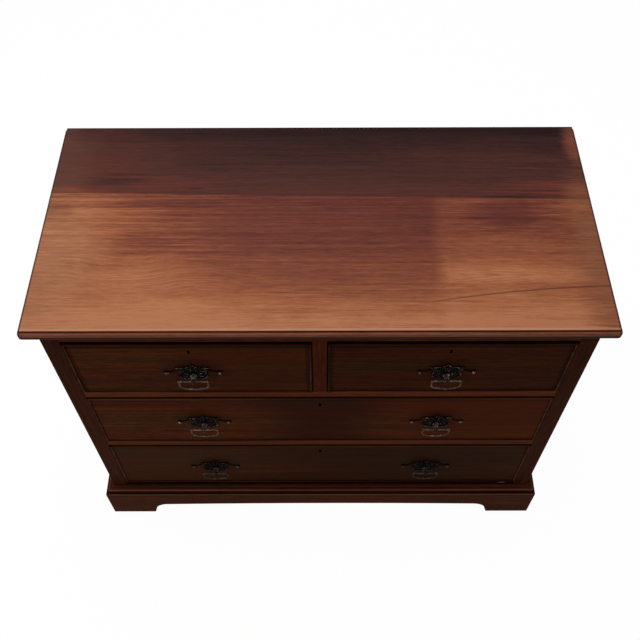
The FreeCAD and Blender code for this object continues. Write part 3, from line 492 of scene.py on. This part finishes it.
    def edged(self, colour, tone):
        """The moulded edge: a rubbed arris with a painted highlight, painted shade in the quirk, a round
        with painted light and painted shade on the face under it.
        """
        g, z = self.g, self.z
        # Wear with a painted highlight along the front arris
        arris = g.between(g.plus(self.y, LIP_HALF[1]), *RUBBED_LIT_ARRIS)
        patches = g.between(self.grain.bands, *RUBBED_PATCHES)
        colour = g.mix(g.times(arris, patches), colour, RUBBED_HIGHLIGHT_COLOUR)
        to_end = g.minus(LIP_HALF[0], g.absolute(self.x))
        to_back = g.minus(TOP_BACK, self.y)
        colour = g.mix(g.between(g.math("MINIMUM", to_end, to_back), *OUTLINE), colour, OUTLINE_COLOUR)
        # Painted light on the upper round, painted shade on the face below it and on the ends
        edge = g.mix(g.between(z, *EDGE_LEVELS), EDGE_SHADED_FACE, g.ramp(g.plus(tone, MIDDLE), EDGE_LIT_ROUND))
        edge = g.mix(g.between(to_end, *EDGE_ENDS), edge, EDGE_ENDS_SHADE)
        colour = g.mix(g.between(z, *FLAT_LEVELS), colour, edge)
        # Painted shade in the quirk
        return g.mix(g.between(g.absolute(g.minus(z, QUIRK_LEVEL)), *QUIRK_SHADE), colour, PAINTED_SHADE)

    def material(self):
        tone = self.tone()
        colour = self.edged(self.flat(tone), tone)
        return polished(self.g, self.grain, colour, TOP_ROUGHNESS, TOP_RELIEF, TOP_SHINE, TOP_TINT)


# Dark polish in two casts, as positions and colours on the screen; its grain, how far a piece's redness
# goes, its pores, roughness, relief, and the strength and tint of what it reflects
OLIVE_POLISH = ((0.3, (56, 27, 9)), (0.5, (86, 45, 18)), (0.7, (112, 62, 27)))
RED_POLISH = ((0.3, (62, 22, 6)), (0.5, (96, 41, 15)), (0.7, (124, 58, 24)))
# A pale colour for wear, which also stands for painted highlights on bead noses and moulding arrises
WEAR_AND_HIGHLIGHT = srgb(190, 128, 100)
POLISH_GRAIN = {"streaks": 0.4, "bands": 0.3, "fine": 0.5, "flecks": 0.6, "fibres": 0.12}
POLISH_GRAIN_SHIFT = -0.46
EVEN_RED = 0.5
RED_SWING = 0.5
RED_LEVELS = (0.38, 0.62)
POLISH_PORES = 0.3
POLISH_PORE_COLOUR = srgb(40, 16, 10)
POLISH_ROUGHNESS = (0.3, 0.7, 0.38, 0.48)
POLISH_RELIEF = (0.06, 0.0003)
POLISH_SHINE = 0.018
POLISH_TINT = (1.0, 0.4, 0.2, 1.0)
# A bead's nose, where it faces the front, gets wear and a painted highlight, in patches; marks have uneven
# edges, and lines are broken
NOSE_HIGHLIGHT_FACING = (0.25, 0.6)
NOSE_PATCHES = (0.38, 0.58, 0.35, 1.0)
MARK_WOBBLE = 1.6
LINE_PATCHES = (0.35, 0.6, 0.5, 1.0)
# How softly a line on a moulding ends at its lowest level
LINE_EDGE = 0.0004
# The case's half width and front, from which mouldings reach out
CASE_HALF = 0.511
CASE_FRONT = -0.2385


def polish(stops, lift):
    return tuple((position, srgb(*[level * lift for level in colour])) for position, colour in stops)


def dark_wood(name, axis, seed, lift, red, marks=(), lines=(), nose=0.0):
    """The fronts, rails and plinth: dark polish over mahogany, with stains, painted sheen and painted shade
    by place, lines of painted highlight and painted shade by how far out from the case they lie, and wear
    with a painted highlight on the noses of beads."""
    g = Graph(name)
    x, y, z = g.split(g.place())
    grain = Grain(g, axis, seed)
    tone = g.weigh(grain.parts(POLISH_GRAIN), POLISH_GRAIN_SHIFT)
    cast = g.between(g.plus(grain.tint, (red - EVEN_RED) * RED_SWING), *RED_LEVELS)
    colour = g.mix(cast, g.ramp(tone, polish(OLIVE_POLISH, lift)), g.ramp(tone, polish(RED_POLISH, lift)))
    if nose:
        # Wear and a painted highlight where a bead faces the front
        facing = g.times(g.split(g.add("ShaderNodeNewGeometry", {}, "Normal"))[1], -1.0)
        rubbed = g.times(g.between(facing, *NOSE_HIGHLIGHT_FACING), g.between(grain.streaks, *NOSE_PATCHES))
        colour = g.mix(g.times(rubbed, nose), colour, WEAR_AND_HIGHLIGHT)
    uneven = g.times(g.minus(grain.bands, MIDDLE), MARK_WOBBLE)
    for centre, reach, paint, strength in marks:
        colour = g.mix(g.times(g.spot(x, z, centre, reach, uneven), strength), colour, paint)
    # Lines of painted highlight and painted shade along mouldings, by how far out they lie
    if lines:
        out = g.math("MAXIMUM", g.minus(g.absolute(x), CASE_HALF), g.minus(CASE_FRONT, y))
        broken = g.between(grain.streaks, *LINE_PATCHES)
    for reach, width, lowest, paint, strength in lines:
        line = g.between(g.absolute(g.minus(out, reach)), width / 2, width, strength, 0.0)
        line = g.times(line, g.between(z, lowest - LINE_EDGE, lowest + LINE_EDGE))
        colour = g.mix(g.times(line, broken), colour, paint)
    colour = g.mix(g.times(grain.pores, POLISH_PORES), colour, POLISH_PORE_COLOUR, "MULTIPLY")
    return polished(g, grain, colour, POLISH_ROUGHNESS, POLISH_RELIEF, POLISH_SHINE, POLISH_TINT)


# Bare wood of the drawers and of the case; its grain, and how much boards differ, counted from far left
LINING = ((0.3, srgb(122, 86, 56)), (0.5, srgb(152, 113, 76)), (0.7, srgb(176, 138, 98)))
PINE = ((0.3, srgb(118, 84, 54)), (0.5, srgb(152, 115, 76)), (0.7, srgb(178, 142, 100)))
PLAIN_GRAIN = {"streaks": 0.42, "bands": 0.34, "fine": 0.3, "fibres": 0.16}
PLAIN_GRAIN_SHIFT = -0.11
BOARD_TONES = 0.22
BOARDS_TO_LEFT = 50.0
# Its dirt: patches to a metre, detail and roughness, how much there is and its colour; then the finish
PLAIN_DIRT_PITCH = 5.0
PLAIN_DIRT_NOISE = (4.0, 0.6)
PLAIN_DIRT = (0.5, 0.72, 0.0, 0.5)
PLAIN_DIRT_COLOUR = srgb(92, 66, 46)
PLAIN_PORES = 0.25
PLAIN_PORE_COLOUR = srgb(60, 42, 28)
PLAIN_ROUGHNESS = (0.3, 0.7, 0.62, 0.75)
PLAIN_RELIEF = (0.15, 0.0004)
PLAIN_SHINE = 0.2


def plain_wood(name, axis, seed, stops, board_pitch=0.0):
    """Unpolished wood inside the case and the drawers; boards of one pitch across differ in tone."""
    g = Graph(name)
    x, y, z = g.split(g.place())
    grain = Grain(g, axis, seed)
    parts = grain.parts(PLAIN_GRAIN)
    shift = PLAIN_GRAIN_SHIFT
    if board_pitch:
        board = g.math("FLOOR", g.plus(g.math("DIVIDE", x, board_pitch), BOARDS_TO_LEFT))
        parts.append((g.add("ShaderNodeTexWhiteNoise", {"W": board}, noise_dimensions="1D"), BOARD_TONES))
        shift -= BOARD_TONES / 2
    colour = g.ramp(g.weigh(parts, shift), stops)
    patches = g.join(*[g.times(value, PLAIN_DIRT_PITCH) for value in (x, y, z)])
    dirt = g.between(g.noise(patches, *PLAIN_DIRT_NOISE), *PLAIN_DIRT)
    colour = g.mix(dirt, colour, PLAIN_DIRT_COLOUR)
    colour = g.mix(g.times(grain.pores, PLAIN_PORES), colour, PLAIN_PORE_COLOUR, "MULTIPLY")
    rough = g.between(grain.bands, *PLAIN_ROUGHNESS)
    return g.surface(Base_Color=colour, Roughness=rough, Normal=g.bump(grain.fibres, *PLAIN_RELIEF),
                     Specular_IOR_Level=PLAIN_SHINE)


# Metals: patina colours, the least and most roughness, and the tint of what they reflect at a slant
DARK_BRASS = ((0.35, srgb(3, 2, 2)), (0.52, srgb(9, 6, 5)), (0.72, srgb(36, 23, 19)))
DARK_BRASS_ROUGHNESS = (0.3, 0.5)
DARK_BRASS_BARE = 0.75
DARK_BRASS_EDGE = (0.12, 0.07, 0.06, 1)
RUBBED_PLATE = srgb(216, 190, 174)
RUBBED_BAIL = srgb(160, 136, 120)
BRASS = ((0.35, srgb(70, 52, 30)), (0.52, srgb(112, 86, 50)), (0.72, srgb(150, 120, 72)))
BRASS_ROUGHNESS = (0.35, 0.55)
BRASS_EDGE = (0.35, 0.22, 0.14, 1)
BLACKENED = srgb(20, 9, 6)
STEEL = ((0.35, srgb(60, 54, 50)), (0.52, srgb(100, 94, 90)), (0.72, srgb(136, 132, 128)))
STEEL_ROUGHNESS = (0.35, 0.55)

# Noise on metal: detail, roughness and how many to a metre; levels of patina and wear, and depth of pits
PATINA = (6.0, 0.65, 160.0)
PATINA_LEVELS = (0.3, 0.7)
WEAR = (4.0, 0.7, 170.0)
WEAR_LEVELS = (0.47, 0.62)
PITS = (2.0, 0.5, 900.0)
PIT_RELIEF = (0.25, 0.0002)
# How far out from the middle of the chest metal is rubbed, how much, and the least of that: the plates'
# rims and relief, then nail heads, posts and bails; the eyes of the posts are less so
RIM_OUT = (0.2404, 0.2411, 0.6, 0.03)
KNOB_OUT = (0.2413, 0.2426, 1.0, 0.30)
EYE_OUT = (0.2520, 0.2550, 1.0, 0.2)
# Handles low down are rubbed less: the levels between which that changes, and the two shares
RUB_LEVELS = (0.28, 0.40, 0.5, 1.0)
# Metal nearer the front than this is black with polish and dirt
LOCK_FACE = (0.2335, 0.2345)


def metal(name, stops, roughness, rubbed=None, blackened=None, bare=1.0, edge=WHITE, eyes=False):
    """Old metal: a patina that lies unevenly, with small pits, rubbed or blackened by how far out it lies;
    bare is the share of clean metal, edge the tint of what it reflects at a slant, and eyes are rubbed
    less."""
    g = Graph(name)
    place = g.place()
    y, z = g.split(place)[1:]
    out = g.times(y, -1.0)
    patina = g.noise(place, *PATINA)
    colour = g.ramp(patina, stops)
    if rubbed:
        wear = g.noise(place, *WEAR)
        share = 0.0
        for near, far, strength, least in (RIM_OUT, KNOB_OUT):
            band = g.between(out, near, far, 0.0, strength)
            band = g.times(band, g.between(wear, *WEAR_LEVELS, least, 1.0))
            share = g.math("MAXIMUM", share, band)
        if eyes:
            share = g.times(share, g.between(out, *EYE_OUT))
        share = g.times(share, g.between(z, *RUB_LEVELS))
        colour = g.mix(share, colour, rubbed)
    if blackened:
        colour = g.mix(g.between(out, *LOCK_FACE), colour, blackened)
    rough = g.between(patina, *PATINA_LEVELS, *roughness)
    return g.surface(Base_Color=colour, Roughness=rough, Metallic=bare, Specular_Tint=edge,
                     Normal=g.bump(g.noise(place, *PITS), *PIT_RELIEF))


def soften(piece, width):
    """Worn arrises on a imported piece, without a change to its own mesh."""
    weld = piece.modifiers.new("corners", "WELD")
    weld.merge_threshold = SAME_CORNER
    bevel = piece.modifiers.new("arris", "BEVEL")
    bevel.width = width
    bevel.segments = ARRIS_STEPS
    bevel.limit_method = "ANGLE"
    bevel.angle_limit = ARRIS_ANGLE
    bevel.use_clamp_overlap = True
    bevel.harden_normals = True


# Lines on mouldings, painted highlights on worn arrises and rounds and painted shade in quirks and on
# ledges: how far out, how wide, the lowest level, colour and strength
PLINTH_HIGHLIGHT_AND_SHADE = ((0.0175, 0.0034, 0.1055, PAINTED_SHADE, 0.9), (0.0212, 0.0014, 0.1042, WEAR_AND_HIGHLIGHT, 0.5))
MOULDING_HIGHLIGHT_AND_SHADE = (
    (0.0050, 0.0009, 0.1170, WEAR_AND_HIGHLIGHT, 0.15),
    (0.0064, 0.0007, 0.1100, PAINTED_SHADE, 0.6),
    (0.0130, 0.0016, 0.1100, WEAR_AND_HIGHLIGHT, 0.4),
    (0.0162, 0.0012, 0.1000, PAINTED_SHADE, 0.9),
)
# A stain on the bottom rail, a painted sheen on the drawer rails and a painted reflection on the base
# moulding: centre across and up, reach, colour and strength
SCUFF = (((0.447, 0.131), (0.009, 0.0024), srgb(160, 138, 124), 0.6),)
RAIL_SHEEN = (((0.0, 0.45), (2.0, 2.0), srgb(124, 72, 56), 0.3),)
MOULDING_REFLECTION = (((0.0, 0.11), (2.0, 2.0), srgb(84, 44, 42), 0.3),)
# Polished case pieces: direction of the grain, lift, redness, stains and painted sheen, and lines of
# painted highlight and shade
POLISHED = {
    "side_left": ("Z", 0.95, 0.5, (), ()),
    "side_right": ("Z", 0.95, 0.55, (), ()),
    "front_stiles": ("Z", 0.75, 1.0, (), ()),
    "centre_divider": ("Z", 0.98, 0.85, (), ()),
    "top_rails": ("X", 0.95, 0.75, (), ()),
    "drawer_rails": ("X", 1.12, 0.6, RAIL_SHEEN, ()),
    # The bottom rail's very low lift is painted shade between the lowest drawer and the base moulding
    "bottom_rail": ("X", 0.28, 0.8, SCUFF, ()),
    "plinth_front": ("X", 0.92, 0.6, (), PLINTH_HIGHLIGHT_AND_SHADE),
    "plinth_sides": ("Y", 0.92, 0.6, (), PLINTH_HIGHLIGHT_AND_SHADE),
    "base_moulding": ("X", 0.78, 0.6, MOULDING_REFLECTION, MOULDING_HIGHLIGHT_AND_SHADE),
}
# Bare pieces: direction of the grain
PINE_GRAIN = {
    "bottom_board": "X", "back_boards": "Z", "drawer_runners": "Y", "drawer_guides": "Y",
    "drawer_kickers": "Y", "drawer_stops": "X", "dust_boards": "Y", "base_rails": "X", "corner_blocks": "Z",
}
BACK_BOARD_PITCH = 0.1665
LINING_GRAIN = {"sides": "Y", "back": "X", "bottom": "X"}
# Steps that set the grain of one piece apart from the next
CASE_STEP = 0.61
PINE_STEP = 0.83
FRONT_STEP = 1.31
BEAD_STEP = 1.93
LINING_STEP = 0.47

# Drawers: the ends of their bails' names, lift, redness and stains on the front, as on the rails
DRAWERS = {
    "short_drawer_left": (("",), 0.94, 0.45, (((-0.12, 0.66), (0.12, 0.1), srgb(74, 31, 12), 0.5),)),
    "short_drawer_right": (("",), 0.74, 0.5, ()),
    "upper_long_drawer": (("_left", "_right"), 0.98, 0.5, (
        ((0.0, 0.46), (0.14, 0.15), srgb(52, 23, 8), 0.8),
        ((0.36, 0.46), (0.2, 0.15), srgb(92, 35, 12), 0.6))),
    "lower_long_drawer": (("_left", "_right"), 0.80, 0.35, (
        ((-0.36, 0.24), (0.2, 0.15), srgb(78, 47, 25), 0.6),
        ((0.15, 0.24), (0.3, 0.15), srgb(52, 26, 11), 0.6))),
}
# Polish darkened round the handles
NAIL_ABOVE_BAIL = 0.0064
HALO_ABOVE_NAIL = 0.014
HALO_REACH = (0.05, 0.03)
HALO_COLOUR = srgb(36, 11, 6)
HALO_STRENGTH = 0.6

# Beads: lift, redness, and the wear and painted highlight on their noses. Painted shade lies along their
# lower and upper lengths, on the face under the upper one, at their ends, and beside the upright between
# the short drawers, whose faces have it along their ends too.
BEAD_LIFT = 0.75
BEAD_RED = 0.5
BEAD_NOSE_HIGHLIGHT = 0.3
BEAD_SHADE_REACH = (2.0, 0.005)
BEAD_SHADE_STRENGTHS = {
    "short_drawer_left": (0.2, 0.8), "short_drawer_right": (0.2, 0.8),
    "upper_long_drawer": (0.2, 0.3), "lower_long_drawer": (1.0, 0.3),
}
FACE_SHADE_BELOW = 0.012
SHORT_FACE_SHADE = 0.75
LONG_FACE_SHADE = 0.3
SIDE_SHADE_INSET = 0.008
SIDE_SHADE_REACH = (0.004, 2.0)
SIDE_SHADE_STRENGTH = 0.5
BEAD_END_SHADE_REACH = (0.0022, 2.0)
BEAD_END_SHADE_STRENGTH = 0.85
UPRIGHT_SHADE = ((0.0, 0.65), (0.022, 0.4), PAINTED_SHADE, 0.8)

# Relief on the handle plates, about the middle of the nail line: C-scrolls on the right half as centre,
# first and last radius, first angle in degrees and turns, then leaves as their two ends, the first in the
# middle; all of them bars that taper
PLATE_FACE = -0.2401
RELIEF_SCROLLS = (
    ((0.0190, 0.0095), 0.0064, 0.0015, 100, -1.4),
    ((0.0160, -0.0085), 0.0066, 0.0015, 70, 1.4),
)
RELIEF_LEAVES = (
    ((0.0, 0.004), (0.0, 0.0245)),
    ((0.002, 0.004), (0.0055, 0.0195)),
    ((0.003, 0.003), (0.0105, 0.0175)),
)
RELIEF_RADII = (0.0011, 0.0006)
RELIEF_STEPS = 30
RELIEF_SIDES = 8


def scroll_path(centre, first, last, angle, turns):
    points = []
    for step in range(RELIEF_STEPS + 1):
        share = step / RELIEF_STEPS
        radius = first + (last - first) * share
        turned = math.radians(angle) + math.tau * turns * share
        points.append((centre[0] + radius * math.cos(turned), centre[1] + radius * math.sin(turned)))
    return points


def add_bar(corners, faces, path):
    """Adds a round bar that tapers along a path of (x, z) on a plate's face, closed at both ends."""
    start = len(corners)
    for index, (x, z) in enumerate(path):
        before, after = path[max(index - 1, 0)], path[min(index + 1, len(path) - 1)]
        along = Vector((after[0] - before[0], 0, after[1] - before[1])).normalized()
        side = Vector((along.z, 0, -along.x))
        share = index / (len(path) - 1)
        radius = RELIEF_RADII[0] + (RELIEF_RADII[1] - RELIEF_RADII[0]) * share
        for spoke in range(RELIEF_SIDES):
            angle = math.tau * spoke / RELIEF_SIDES
            corners.append(Vector((x, PLATE_FACE, z)) + radius * (
                math.cos(angle) * side + math.sin(angle) * Vector((0, -1, 0))))
    for ring in range(len(path) - 1):
        here = start + ring * RELIEF_SIDES
        beyond = here + RELIEF_SIDES
        for spoke in range(RELIEF_SIDES):
            following = (spoke + 1) % RELIEF_SIDES
            faces.append((here + spoke, here + following, beyond + following, beyond + spoke))
    faces.append(tuple(start + spoke for spoke in range(RELIEF_SIDES))[::-1])
    faces.append(tuple(start + (len(path) - 1) * RELIEF_SIDES + spoke for spoke in range(RELIEF_SIDES)))


def make_relief(drawer, end, x, z, material):
    """Scrolls and leaves cast on one handle plate."""
    paths = []
    for side in (-1, 1):
        for scroll in RELIEF_SCROLLS:
            paths.append([(side * across, up) for across, up in scroll_path(*scroll)])
        for leaf in RELIEF_LEAVES[0 if side == 1 else 1:]:
            paths.append([(side * across, up) for across, up in leaf])
    corners, faces = [], []
    for path in paths:
        add_bar(corners, faces, [(x + across, z + up) for across, up in path])
    mesh = bpy.data.meshes.new(f"{drawer}_plate_relief{end}")
    mesh.from_pydata(corners, [], faces)
    bm = bmesh.new()
    bm.from_mesh(mesh)
    bmesh.ops.recalc_face_normals(bm, faces=bm.faces)
    bm.to_mesh(mesh)
    bm.free()
    for face in mesh.polygons:
        face.use_smooth = True
    mesh.materials.append(material)
    piece = bpy.data.objects.new(mesh.name, mesh)
    bpy.context.scene.collection.objects.link(piece)
    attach(piece, drawer)


def handle_places(drawer):
    """The middle of the nail line of each handle, as x and z."""
    places = []
    for end in DRAWERS[drawer][0]:
        low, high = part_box(f"{drawer}_bail{end}")
        places.append(((low[0] + high[0]) / 2, high[2] + NAIL_ABOVE_BAIL))
    return places


def dress(name, material, arris=None):
    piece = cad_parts[name]
    for slot in piece.material_slots:
        slot.material = material
    if arris:
        soften(piece, arris)


def dress_case():
    dress("top_board", TopWood().material(), SMALL_ARRIS)
    for seed, (name, (axis, lift, red, stains, lines)) in enumerate(POLISHED.items(), start=1):
        material = dark_wood(f"{name}_polish", axis, seed * CASE_STEP, lift, red, stains, lines)
        dress(name, material, SMALL_ARRIS if name == "base_moulding" else BOARD_ARRIS)
    for seed, (name, axis) in enumerate(PINE_GRAIN.items(), start=1):
        pitch = BACK_BOARD_PITCH if name == "back_boards" else 0.0
        dress(name, plain_wood(f"{name}_pine", axis, seed * PINE_STEP, PINE, pitch), BOARD_ARRIS)
    dress("top_screws", metal("screw_steel", STEEL, STEEL_ROUGHNESS))


def front_dirt_and_shade(drawer, low, high):
    """Dirt from handling round the handles, and painted shade under the upper bead and along the ends of
    short drawers, on a drawer's front, inside the box of its bead.
    """
    marks = [((x, z + HALO_ABOVE_NAIL), HALO_REACH, HALO_COLOUR, HALO_STRENGTH)
             for x, z in handle_places(drawer)]
    is_short = "short" in drawer
    face_shade = SHORT_FACE_SHADE if is_short else LONG_FACE_SHADE
    # Painted shade on the face under the upper bead, and along the ends of short drawers' faces
    marks.append(((0.0, high[2] - FACE_SHADE_BELOW), BEAD_SHADE_REACH, PAINTED_SHADE, face_shade))
    if is_short:
        for across in (low[0] + SIDE_SHADE_INSET, high[0] - SIDE_SHADE_INSET):
            marks.append(((across, high[2]), SIDE_SHADE_REACH, PAINTED_SHADE, SIDE_SHADE_STRENGTH))
    return marks


def bead_shade(drawer, low, high):
    """Painted shade along a bead's lower and upper lengths and at its ends, and beside the upright between
    short drawers.
    """
    marks = [((0.0, level), BEAD_SHADE_REACH, PAINTED_SHADE, strength)
             for level, strength in zip((low[2], high[2]), BEAD_SHADE_STRENGTHS[drawer])]
    marks += [((end, high[2]), BEAD_END_SHADE_REACH, PAINTED_SHADE, BEAD_END_SHADE_STRENGTH) for end in (low[0], high[0])]
    if "short" in drawer:
        marks.append(UPRIGHT_SHADE)
    return marks


def dress_drawers():
    dark = {"stops": DARK_BRASS, "roughness": DARK_BRASS_ROUGHNESS, "bare": DARK_BRASS_BARE,
            "edge": DARK_BRASS_EDGE}
    plate_brass = metal("blackened_brass", rubbed=RUBBED_PLATE, eyes=True, **dark)
    bail_brass = metal("worn_brass", rubbed=RUBBED_BAIL, **dark)
    brass = metal("dull_brass", BRASS, BRASS_ROUGHNESS, blackened=BLACKENED, edge=BRASS_EDGE)
    for seed, (drawer, (ends, lift, red, stains)) in enumerate(DRAWERS.items(), start=1):
        low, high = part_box(f"{drawer}_cock_bead")
        marks = (*stains, *front_dirt_and_shade(drawer, low, high))
        front = dark_wood(f"{drawer}_front_polish", "X", seed * FRONT_STEP, lift, red, marks)
        dress(f"{drawer}_front", front, SMALL_ARRIS)
        bead = dark_wood(f"{drawer}_bead_polish", "X", seed * BEAD_STEP, BEAD_LIFT, BEAD_RED,
                         bead_shade(drawer, low, high), nose=BEAD_NOSE_HIGHLIGHT)
        dress(f"{drawer}_cock_bead", bead)
        for part, axis in LINING_GRAIN.items():
            lining = plain_wood(f"{drawer}_{part}_lining", axis, seed * LINING_STEP, LINING)
            dress(f"{drawer}_{part}", lining, SMALL_ARRIS)
        dress(f"{drawer}_lock", brass)
        dress(f"{drawer}_lock_bolt", brass, SMALL_ARRIS)
        dress(f"{drawer}_handle_mounts", plate_brass)
        for end, (x, z) in zip(ends, handle_places(drawer)):
            dress(f"{drawer}_bail{end}", bail_brass)
            make_relief(drawer, end, x, z, plate_brass)


def make_camera():
    data = bpy.data.cameras.new("camera")
    data.lens = CAMERA_LENS
    data.sensor_width = CAMERA_SENSOR
    data.shift_y = CAMERA_SHIFT_UP
    camera = bpy.data.objects.new("camera", data)
    bpy.context.scene.collection.objects.link(camera)
    turn = Matrix.Rotation(-CAMERA_YAW, 4, "Z")
    tilt = Matrix.Rotation(math.pi / 2 - CAMERA_PITCH, 4, "X")
    roll = Matrix.Rotation(CAMERA_ROLL, 4, "Z")
    camera.matrix_world = Matrix.Translation(CAMERA_PLACE) @ turn @ tilt @ roll
    bpy.context.scene.camera = camera


def softbox(name, place, target, size, power):
    data = bpy.data.lights.new(name, "AREA")
    data.shape = "RECTANGLE"
    data.size, data.size_y = size
    data.energy = power
    lamp = bpy.data.objects.new(name, data)
    bpy.context.scene.collection.objects.link(lamp)
    lamp.location = place
    lamp.rotation_euler = (Vector(target) - Vector(place)).to_track_quat("-Z", "Y").to_euler()


def seen_strength(tree, seen, reflected, otherwise):
    """One strength for rays from the camera, one for reflections, and one for light that bounces."""
    paths = tree.nodes.new("ShaderNodeLightPath")

    def step(operation, first, second):
        node = tree.nodes.new("ShaderNodeMath")
        node.operation = operation
        for socket, value in zip(node.inputs, (first, second)):
            if isinstance(value, bpy.types.NodeSocket):
                tree.links.new(value, socket)
            else:
                socket.default_value = value
        return node.outputs[0]

    mirrored = step("MAXIMUM", paths.outputs["Is Glossy Ray"], paths.outputs["Is Transmission Ray"])
    extra = step("MAXIMUM", step("MULTIPLY", paths.outputs["Is Camera Ray"], seen - otherwise),
                 step("MULTIPLY", mirrored, reflected - otherwise))
    return step("ADD", extra, otherwise)


def make_stage():
    """A pale floor that keeps a faint shadow, and a white surround."""
    mesh = bpy.data.meshes.new("floor")
    reach = FLOOR_REACH
    corners = [(-reach, -reach, 0), (reach, -reach, 0), (reach, reach, 0), (-reach, reach, 0)]
    mesh.from_pydata(corners, [], [(0, 1, 2, 3)])
    floor = bpy.data.objects.new("floor", mesh)
    bpy.context.scene.collection.objects.link(floor)
    g = Graph("floor_pale")
    g.surface(Base_Color=FLOOR_GREY, Roughness=1.0, Specular_IOR_Level=0.0)
    glow = g.add("ShaderNodeEmission", {"Color": WHITE, "Strength": FLOOR_GLOW})
    share = seen_strength(g.tree, FLOOR_GLOW_SHARE, SURROUND_REFLECTED * FLOOR_GLOW_SHARE, 0.0)
    whole = g.add("ShaderNodeMixShader", {0: share, 1: g.shader.outputs[0], 2: glow})
    g.feed(g.tree.nodes["Material Output"].inputs["Surface"], whole)
    mesh.materials.append(g.material)

    world = bpy.data.worlds.new("surround")
    world.use_nodes = True
    bpy.context.scene.world = world
    background = world.node_tree.nodes["Background"]
    strength = seen_strength(world.node_tree, SURROUND_SEEN, SURROUND_REFLECTED, SURROUND_LIGHT)
    world.node_tree.links.new(strength, background.inputs["Strength"])
    background.inputs["Color"].default_value = WHITE


make_camera()
make_stage()
for lamp in LAMPS:
    softbox(*lamp)
dress_case()
dress_drawers()
bpy.context.scene.view_settings.view_transform = "Standard"
